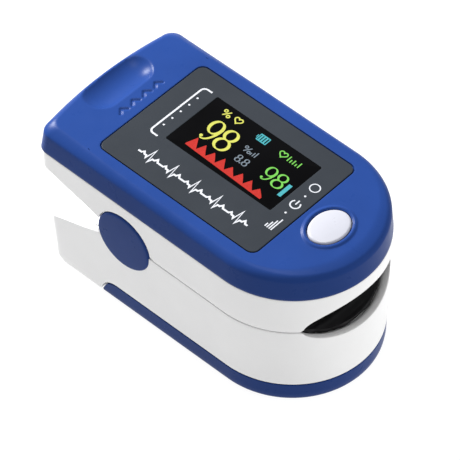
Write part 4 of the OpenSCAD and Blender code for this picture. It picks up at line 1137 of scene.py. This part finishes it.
class OXIMETER_OT_hinge_caps(bpy.types.Operator):
    """Blue caps over the hinge pins: a disc with a soft edge and a barely crowned face"""
    bl_idname = "oximeter.hinge_caps"
    bl_label = "Hinge caps"

    def execute(self, context):
        q = quarter(8)
        x0, x1 = -CAP_LO[0] - 0.92, -CAP_LO[0]
        r = np.concatenate([[0.4, CAP_R - 1.2, CAP_R - 0.15, CAP_R], CAP_R - 0.42 * (1 - np.cos(q)),
                            np.linspace(CAP_R - 0.6, 0.3, 10)])
        crown = x1 - 0.07 * (np.linspace(CAP_R - 0.6, 0.3, 10) / CAP_R) ** 2
        x = np.concatenate([[x0 + 0.02, x0 + 0.02, x0 + 0.02, x0 + 0.12],
                            x1 - 0.07 - 0.42 + 0.42 * np.sin(q), crown])
        t = np.linspace(0, TAU, 128, endpoint=False)[None, :]
        face = np.stack([x[:, None] + 0 * t, HINGE[1] + r[:, None] * np.cos(t),
                         HINGE[2] + r[:, None] * np.sin(t)], -1)
        cap = patch(poled(face), wrap_cols=True)
        blue = finishes()["cover_blue"]
        piece("cap_right", [cap], "lower", blue, ["hinge_cap_right"])
        piece("cap_left", mirrored([cap]), "lower", blue, ["hinge_cap_left"])
        return {"FINISHED"}


def tube(path, radius, n=12, flat=1.0):
    """Tube along a path: rings square to it, with flat the ratio of the ring's height to its width."""
    path = np.asarray(path, float)
    ahead = np.gradient(path, axis=0)
    ahead /= np.linalg.norm(ahead, axis=1)[:, None]
    side = np.cross(ahead, np.array([[0.9, 0.1, 0.42]]))
    side /= np.linalg.norm(side, axis=1)[:, None]
    up = np.cross(side, ahead)
    t = np.linspace(0, TAU, n, endpoint=False)[None, :, None]
    return patch(poled(path[:, None] + radius * (np.cos(t) * side[:, None] + flat * np.sin(t) * up[:, None])),
                 wrap_cols=True)


class OXIMETER_OT_springs(bpy.types.Operator):
    """Torsion springs: a helix about the pin with a straight leg to each half"""
    bl_idname = "oximeter.springs"
    bl_label = "Torsion springs"

    def execute(self, context):
        turns, coil_r, reach, lean_a, wide = 4, 2.4, 6.1, math.radians(58), 2.5
        leave = lean_a - math.acos(coil_r / reach)
        start_x = node_box("torsion_spring_right")[1][0] - 0.28
        a = leave + np.linspace(0, 1, turns * 36) * (-TAU * turns - 2 * leave)
        coil = np.stack([start_x - wide * np.linspace(0, 1, len(a)), HINGE[1] + coil_r * np.cos(a),
                         HINGE[2] + coil_r * np.sin(a)], -1)
        first = np.array([start_x, HINGE[1] + reach * math.cos(lean_a), HINGE[2] + reach * math.sin(lean_a)])
        last = np.array([start_x - wide, HINGE[1] + 0.75 * reach * math.cos(lean_a),
                         HINGE[2] - 0.68 * reach * math.sin(lean_a)])
        path = np.concatenate([np.linspace(first, coil[0], 8)[:-1], coil, np.linspace(coil[-1], last, 8)[1:]])
        for side, name in ((1, "right"), (-1, "left")):
            spring = piece("spring_" + name, [tube(path * [side, 1, 1], 0.28)], None,
                           finishes()["spring_steel"], ["torsion_spring_" + name])
            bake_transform(spring)
        return {"FINISHED"}


# ---- Finger pads and light windows ---------------------------------------------------------------

def pad_patches(upper):
    """Finger pad: half an elliptical channel along Y with a flat flange each side. It starts behind the
    nose's inner wall, has a dip for the light window and low ribs across, and ends in a wall with a round
    corner."""
    s = sizes()
    sign = 1 if upper else -1
    end_y = (UPAD_HI if upper else LPAD_HI)[1]
    half = s.opening / 2 - 0.6
    mid = SEAM_Z if upper else SEAM_Z - 0.6
    rise = s.arch - 1.1 if upper else mid - (LPAD_LO[2] + 0.95)
    rim = SEAM_Z + 0.25 if upper else SEAM_Z - 0.92
    flange = np.linspace(0, 1, 8)[:-1]
    edge = 14.2
    base = math.sqrt(max(1 - ((rim - mid) / rise) ** 2, 0))
    top_turn = np.arcsin(np.clip(abs(rim - mid) / rise, 0, 1))
    turn = np.linspace(math.pi - top_turn, top_turn, 90)
    level = 0 * flange + rim
    x = np.concatenate([-edge + (edge - half * base) * flange, half * np.cos(turn),
                        edge - (edge - half * base) * flange[::-1]])
    z = np.concatenate([level, mid + sign * rise * np.sin(turn), level])
    wall_r = HALF_W - s.wall - 0.1
    front = NOSE_Y + HALF_W - np.sqrt(np.maximum(wall_r ** 2 - x ** 2, 0)) + 0.05
    stop = end_y - 1.3
    share = np.linspace(0, 1, 110)
    y = front[:, None] + (stop - 0.5 - front)[:, None] * share[None, :]
    xx, zz = x[:, None] + 0 * y, z[:, None] + 0 * y
    emit_y = HINGE[1] - 17
    away = np.hypot(xx, y - emit_y)
    inside = np.abs(zz - rim) > 0.4
    zz = zz + sign * 0.55 * (1 - ramp(away, 3.02, 3.35)) * inside
    near_window = (1 - ramp(away, 9.5, 7.5)) * ramp(away, 3.6, 4.4)
    ribs = 0.12 * ramp(np.cos((y - emit_y) * TAU / 2.4), 0.2, 0.9) * near_window
    zz = zz - sign * ribs * ramp(np.abs(zz - rim), 0.2, 1.2)
    # Round corner into the end wall, the wall, and its foot
    q = quarter(6)[None, 1:]
    depth = np.abs(zz[:, -1:] - rim)
    bend_y = stop - 0.5 + 0.5 * np.sin(q) + 0 * depth
    bend_z = zz[:, -1:] - sign * np.minimum(0.5, depth) * (1 - np.cos(q))
    foot_y = np.array([[stop, stop + 0.15, end_y]]) + 0 * depth
    foot_z = np.array([[rim + sign * 0.12, rim, rim]]) + 0 * depth
    yy = np.concatenate([y, bend_y, foot_y], 1)
    zz = np.concatenate([zz, bend_z, foot_z], 1)
    xx = x[:, None] + 0 * yy
    return [patch(np.stack([xx, yy, zz], -1))]


class OXIMETER_OT_finger_pads(bpy.types.Operator):
    """Black silicone pads that hold the finger, upper and lower"""
    bl_idname = "oximeter.finger_pads"
    bl_label = "Finger pads"

    def execute(self, context):
        black = finishes()["silicone_black"]
        for name, upper in (("upper", True), ("lower", False)):
            patches = pad_patches(upper)
            pad = piece("pad_" + name, turned(patches) if upper else patches, name, black,
                        [name + "_pad"])
            # The wall goes to the side away from the finger
            wall = pad.modifiers.new("Wall", "SOLIDIFY")
            wall.thickness = 0.7 * MM
            normal = np.empty(len(pad.data.polygons) * 3)
            pad.data.polygons.foreach_get("normal", normal)
            up = normal.reshape(-1, 3)[:, 2].mean() > 0
            wall.offset = 1 if up == upper else -1
            bpy.context.view_layer.update()
            done = bpy.data.meshes.new_from_object(pad.evaluated_get(bpy.context.evaluated_depsgraph_get()))
            pad.modifiers.clear()
            pad.data = done
            smooth(pad, 50)
        return {"FINISHED"}


class OXIMETER_OT_light_windows(bpy.types.Operator):
    """Clear windows over the light source and the detector, each a low round lens"""
    bl_idname = "oximeter.light_windows"
    bl_label = "Light windows"

    def execute(self, context):
        for node, body, sign in (("emitter_window", "upper", -1), ("detector_window", "lower", 1)):
            lo, hi = node_box(node, body == "upper")
            r = (hi[0] - lo[0]) / 2
            centre = ((lo[0] + hi[0]) / 2, (lo[1] + hi[1]) / 2)
            back, front = (hi[2], lo[2]) if sign < 0 else (lo[2], hi[2])
            k = np.array([0, 0, 0, 0.15, 0.45, 0.9, 1.5, 2.2, 2.7])
            z = np.array([0, 0.1, abs(front - back) - 0.12, 0, 0, 0, 0, 0, 0])
            crown = 0.25 * (1 - ((r - k) / r) ** 2)
            z[3:] = abs(front - back) - 0.1 + crown[3:]
            lens = plate(ellipse(centre, r, r, 64), np.stack([k, back + sign * z], -1))
            patches = turned([lens]) if body == "upper" else [lens]
            piece(node + "_lens", patches, body, finishes()["clear_window"], [node])
        return {"FINISHED"}


# ---- Wiring and cells ----------------------------------------------------------------------------

def rounded_path(points, n=10):
    """Smooth curve through the route's points (Catmull-Rom)."""
    p = np.asarray(points, float)
    p = np.concatenate([2 * p[:1] - p[1:2], p, 2 * p[-1:] - p[-2:-1]])
    t = np.linspace(0, 1, n, endpoint=False)[None, :, None]
    a, b, c, d = (p[i:len(p) - 3 + i, None] for i in range(4))
    curve = 0.5 * (2 * b + (c - a) * t + (2 * a - 5 * b + 4 * c - d) * t ** 2
                   + (3 * b - a - 3 * c + d) * t ** 3)
    return np.concatenate([curve.reshape(-1, p.shape[1]), p[-2:-1]])


class OXIMETER_OT_wiring(bpy.types.Operator):
    """Flat sensor cable and the two leads from the cells, past the hinge"""
    bl_idname = "oximeter.wiring"
    bl_label = "Cable and leads"

    def execute(self, context):
        hy, hz = HINGE[1:]
        deck_z, cell_z = DECK_Z, CELL_Z
        deck_top, floor_z = deck_z + PLATE, SEAM_Z + sizes().arch + 0.6
        floor_top = floor_z + PLATE
        flat = [(hy - 12.4, deck_z - 0.3), (hy - 8, deck_z - 0.3), (hy - 4.6, deck_z - 0.2),
                (hy - 2.7, deck_z + 0.6), (hy - 2, deck_z + 2.4), (hy - 1.7, hz),
                (hy - 1.8, floor_z - 2), (hy - 2, floor_z), (hy - 2.2, floor_top)]
        path = rounded_path(flat, 6)
        ahead = np.gradient(path, axis=0)
        ahead /= np.linalg.norm(ahead, axis=1)[:, None]
        across = np.stack([-ahead[:, 1], ahead[:, 0]], -1)
        x = np.linspace(-2.5, 2.5, 41)
        ridge = 0.10 + 0.04 * np.cos(x * TAU / 0.5)
        top = path[:, None] + across[:, None] * ridge[None, :, None]
        low = path[:, None] - across[:, None] * ridge[None, ::-1, None]
        loop_x = np.concatenate([x, x[::-1]])[None, :] + 0 * path[:, :1]
        loop = np.concatenate([top, low], 1)
        ribbon_points = np.concatenate([loop_x[..., None], loop], -1)
        cable = piece("sensor_ribbon", [patch(poled(ribbon_points), wrap_cols=True)], None,
                      finishes()["flat_cable"], ["sensor_cable"])
        rear = node_box("battery_plate")[1][1]
        route = [(rear - 0.7, cell_z + 2.8), (rear - 1, cell_z + 3.6), (rear - 2, cell_z + 4.1),
                 (hy + 7, cell_z + 4.3), (hy + 3.8, cell_z + 5.6), (hy + 1.8, deck_top + 1), (hy + 0.8, hz),
                 (hy + 0.4, floor_z - 2), (hy - 0.6, floor_top)]
        leads = []
        for side in (-1.1, 1.1):
            line = rounded_path(route, 8)
            leads.append(tube(np.column_stack([np.full(len(line), side), line]), 0.35))
        wires = piece("cell_leads", leads, None, finishes()["lead_insulation"],
                      ["battery_leads"])
        for obj in (cable, wires):
            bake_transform(obj)
        return {"FINISHED"}


class OXIMETER_OT_cells(bpy.types.Operator):
    """Two cells: a sleeve with rolled shoulders over a bright can, and the stud"""
    bl_idname = "oximeter.cells"
    bl_label = "Cells"

    def execute(self, context):
        for name, flip in (("battery_left", True), ("battery_right", False)):
            lo, hi = node_box(name)
            r, long = (hi[0] - lo[0]) / 2, hi[1] - lo[1]
            x, z = (lo[0] + hi[0]) / 2, (lo[2] + hi[2]) / 2
            t = np.linspace(0, TAU, 72, endpoint=False)[None, :]

            def turned_body(profile):
                p = np.array(profile)
                along = hi[1] - p[:, 1] if flip else lo[1] + p[:, 1]
                points = np.stack([x + p[:, :1] * np.cos(t), along[:, None] + 0 * t,
                                   z + p[:, :1] * np.sin(t)], -1)
                return patch(poled(points), wrap_cols=True)

            q = quarter(5)
            shoulder = np.stack([r - 0.5 + 0.5 * np.cos(q), long - 1.5 + 0.5 * np.sin(q)], -1)
            foot = np.stack([r - 0.5 + 0.5 * np.sin(q), 0.5 - 0.5 * np.cos(q)], -1)
            sleeve_profile = np.concatenate([[(r - 1.0, 0.15)], foot, shoulder, [(r - 1.0, long - 1.12)]])
            piece(name + "_sleeve", [turned_body(sleeve_profile)], "lower",
                  finishes()["cell_sleeve"], [name])
            can = [(1.0, 0.02), (3.6, 0.03), (3.7, 0.2), (3.7, long - 1.2), (3.6, long - 1.06),
                   (2.1, long - 1.0), (1.9, long - 0.9), (1.9, long - 0.15), (1.75, long - 0.02)]
            piece(name + "_can", [turned_body(can)], "lower", finishes()["contact_metal"])
        return {"FINISHED"}


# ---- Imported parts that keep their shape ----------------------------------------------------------

KEPT = {
    "display_module": "screen_black", "main_board": "circuit_board", "emitter_board": "circuit_board",
    "detector_board": "circuit_board", "controller_chip": "chip_black", "amplifier_chip": "chip_black",
    "switch_body": "chip_black", "switch_plunger": "chip_black", "photodiode": "chip_black",
    "crystal_can": "contact_metal", "board_capacitors": "capacitor_tan", "cable_socket": "socket_ivory",
    "board_screws": "screw_steel", "cover_screws": "screw_steel", "deck_screws": "screw_steel",
    "hinge_pin_left": "screw_steel", "hinge_pin_right": "screw_steel", "emitter_led": "led_resin",
    "lower_deck": "deck_white", "battery_bridge": "contact_metal", "battery_spring": "contact_metal",
    "battery_plate": "contact_metal",
}


class OXIMETER_OT_inner_parts(bpy.types.Operator):
    """Finishes for the boards, chips, screws, pins, contacts and deck"""
    bl_idname = "oximeter.inner_parts"
    bl_label = "Inner parts"

    def execute(self, context):
        for node, finish in KEPT.items():
            data = frame["nodes"][node].data
            data.materials.clear()
            data.materials.append(finishes()[finish])
        return {"FINISHED"}


# ---- Stage ---------------------------------------------------------------------------------------

def floor_finish():
    """Matt pale floor that also gives off a little light, so that shadows stay faint."""
    mat = moulded("floor_pale", (0.14, 0.14, 0.142), (0.8, 0.9), 0.005, 200, 0.02, shine=0.05)
    shader = mat.node_tree.nodes["Principled BSDF"]
    shader.inputs["Emission Color"].default_value = (1, 1, 1, 1)
    shader.inputs["Emission Strength"].default_value = 0.93
    return mat


def area_light(name, place, target, size, power, tint=(1, 1, 1)):
    data = bpy.data.lights.new(name, "AREA")
    data.shape = "DISK"
    data.size, data.energy, data.color = size, power, tint
    obj = bpy.data.objects.new(name, data)
    bpy.context.scene.collection.objects.link(obj)
    obj.location = place
    aim = np.array(target) - np.array(place)
    obj.rotation_euler = [math.atan2(math.hypot(aim[0], aim[1]), -aim[2]), 0,
                          math.atan2(aim[1], aim[0]) - math.pi / 2]
    return obj


class OXIMETER_OT_stage(bpy.types.Operator):
    """Pale floor, soft lights and the camera"""
    bl_idname = "oximeter.stage"
    bl_label = "Stage"

    def execute(self, context):
        scene = context.scene
        scene.view_settings.view_transform = "Standard"
        reach = 1.5
        xy = np.linspace(-reach, reach, 3)
        gx, gy = np.meshgrid(xy, xy, indexing="ij")
        mesh = bpy.data.meshes.new("floor")
        mesh.from_pydata(np.stack([gx, gy, 0 * gx - 2e-5], -1).reshape(-1, 3).tolist(), [],
                         quads(3, 3, False, False).tolist())
        floor = bpy.data.objects.new("floor", mesh)
        scene.collection.objects.link(floor)
        mesh.materials.append(floor_finish())
        world = bpy.data.worlds.new("studio")
        scene.world = world
        world.use_nodes = True
        back = world.node_tree.nodes["Background"]
        back.inputs["Color"].default_value = (1, 1, 1, 1)
        back.inputs["Strength"].default_value = 0.42
        area_light("key_soft", (0.05, 0.615, 0.445), (0, 0, 0.02), 0.2, 15.0)
        area_light("top_soft", (0.02, 0.04, 0.75), (0, 0, 0.02), 0.3, 1.9)
        area_light("fill_soft", (0.35, -0.60, 0.25), (0, 0, 0.02), 0.5, 2.3).visible_glossy = False
        data = bpy.data.cameras.new("camera")
        data.sensor_width, data.lens = 36.0, 234.8
        data.clip_start, data.clip_end = 0.01, 20
        camera = bpy.data.objects.new("camera", data)
        scene.collection.objects.link(camera)
        turn, rise = math.radians(-47.5), math.radians(48.5)
        back_way = np.array([math.sin(turn) * math.cos(rise), -math.cos(turn) * math.cos(rise),
                             math.sin(rise)])
        target = np.array([-11.15, -10.2, 30.4]) * MM
        camera.location = target + 0.4695 * back_way
        camera.rotation_euler = [math.pi / 2 - rise, 0, turn]
        scene.camera = camera
        return {"FINISHED"}


OPERATORS = (
    OXIMETER_OT_stage, OXIMETER_OT_top_cover, OXIMETER_OT_label, OXIMETER_OT_screen_marks,
    OXIMETER_OT_printing, OXIMETER_OT_button, OXIMETER_OT_upper_frame, OXIMETER_OT_lower_shell,
    OXIMETER_OT_battery_door, OXIMETER_OT_hinge_caps, OXIMETER_OT_springs, OXIMETER_OT_finger_pads,
    OXIMETER_OT_light_windows, OXIMETER_OT_wiring, OXIMETER_OT_cells, OXIMETER_OT_inner_parts,
)


class OXIMETER_PT_panel(bpy.types.Panel):
    """Lists the sizes, the colours and one button for each group of pieces"""
    bl_label = "Pulse oximeter"
    bl_idname = "OXIMETER_PT_panel"
    bl_space_type = "VIEW_3D"
    bl_region_type = "UI"
    bl_category = "Oximeter"

    def draw(self, context):
        for group in (context.scene.oximeter_sizes, context.scene.oximeter_colours):
            for key in group.bl_rna.properties.keys():
                if key not in ("rna_type", "name"):
                    self.layout.prop(group, key)
        for operator in OPERATORS:
            self.layout.operator(operator.bl_idname)


CLASSES = (OximeterSizes, OximeterColours, *OPERATORS, OXIMETER_PT_panel)


def register():
    for cls in CLASSES:
        bpy.utils.register_class(cls)
    bpy.types.Scene.oximeter_sizes = PointerProperty(type=OximeterSizes)
    bpy.types.Scene.oximeter_colours = PointerProperty(type=OximeterColours)


def unregister():
    del bpy.types.Scene.oximeter_sizes
    del bpy.types.Scene.oximeter_colours
    for cls in reversed(CLASSES):
        bpy.utils.unregister_class(cls)


def main():
    register()
    for operator in OPERATORS:
        group, name = operator.bl_idname.split(".")
        getattr(getattr(bpy.ops, group), name)()


if __name__ == "__main__":
    main()
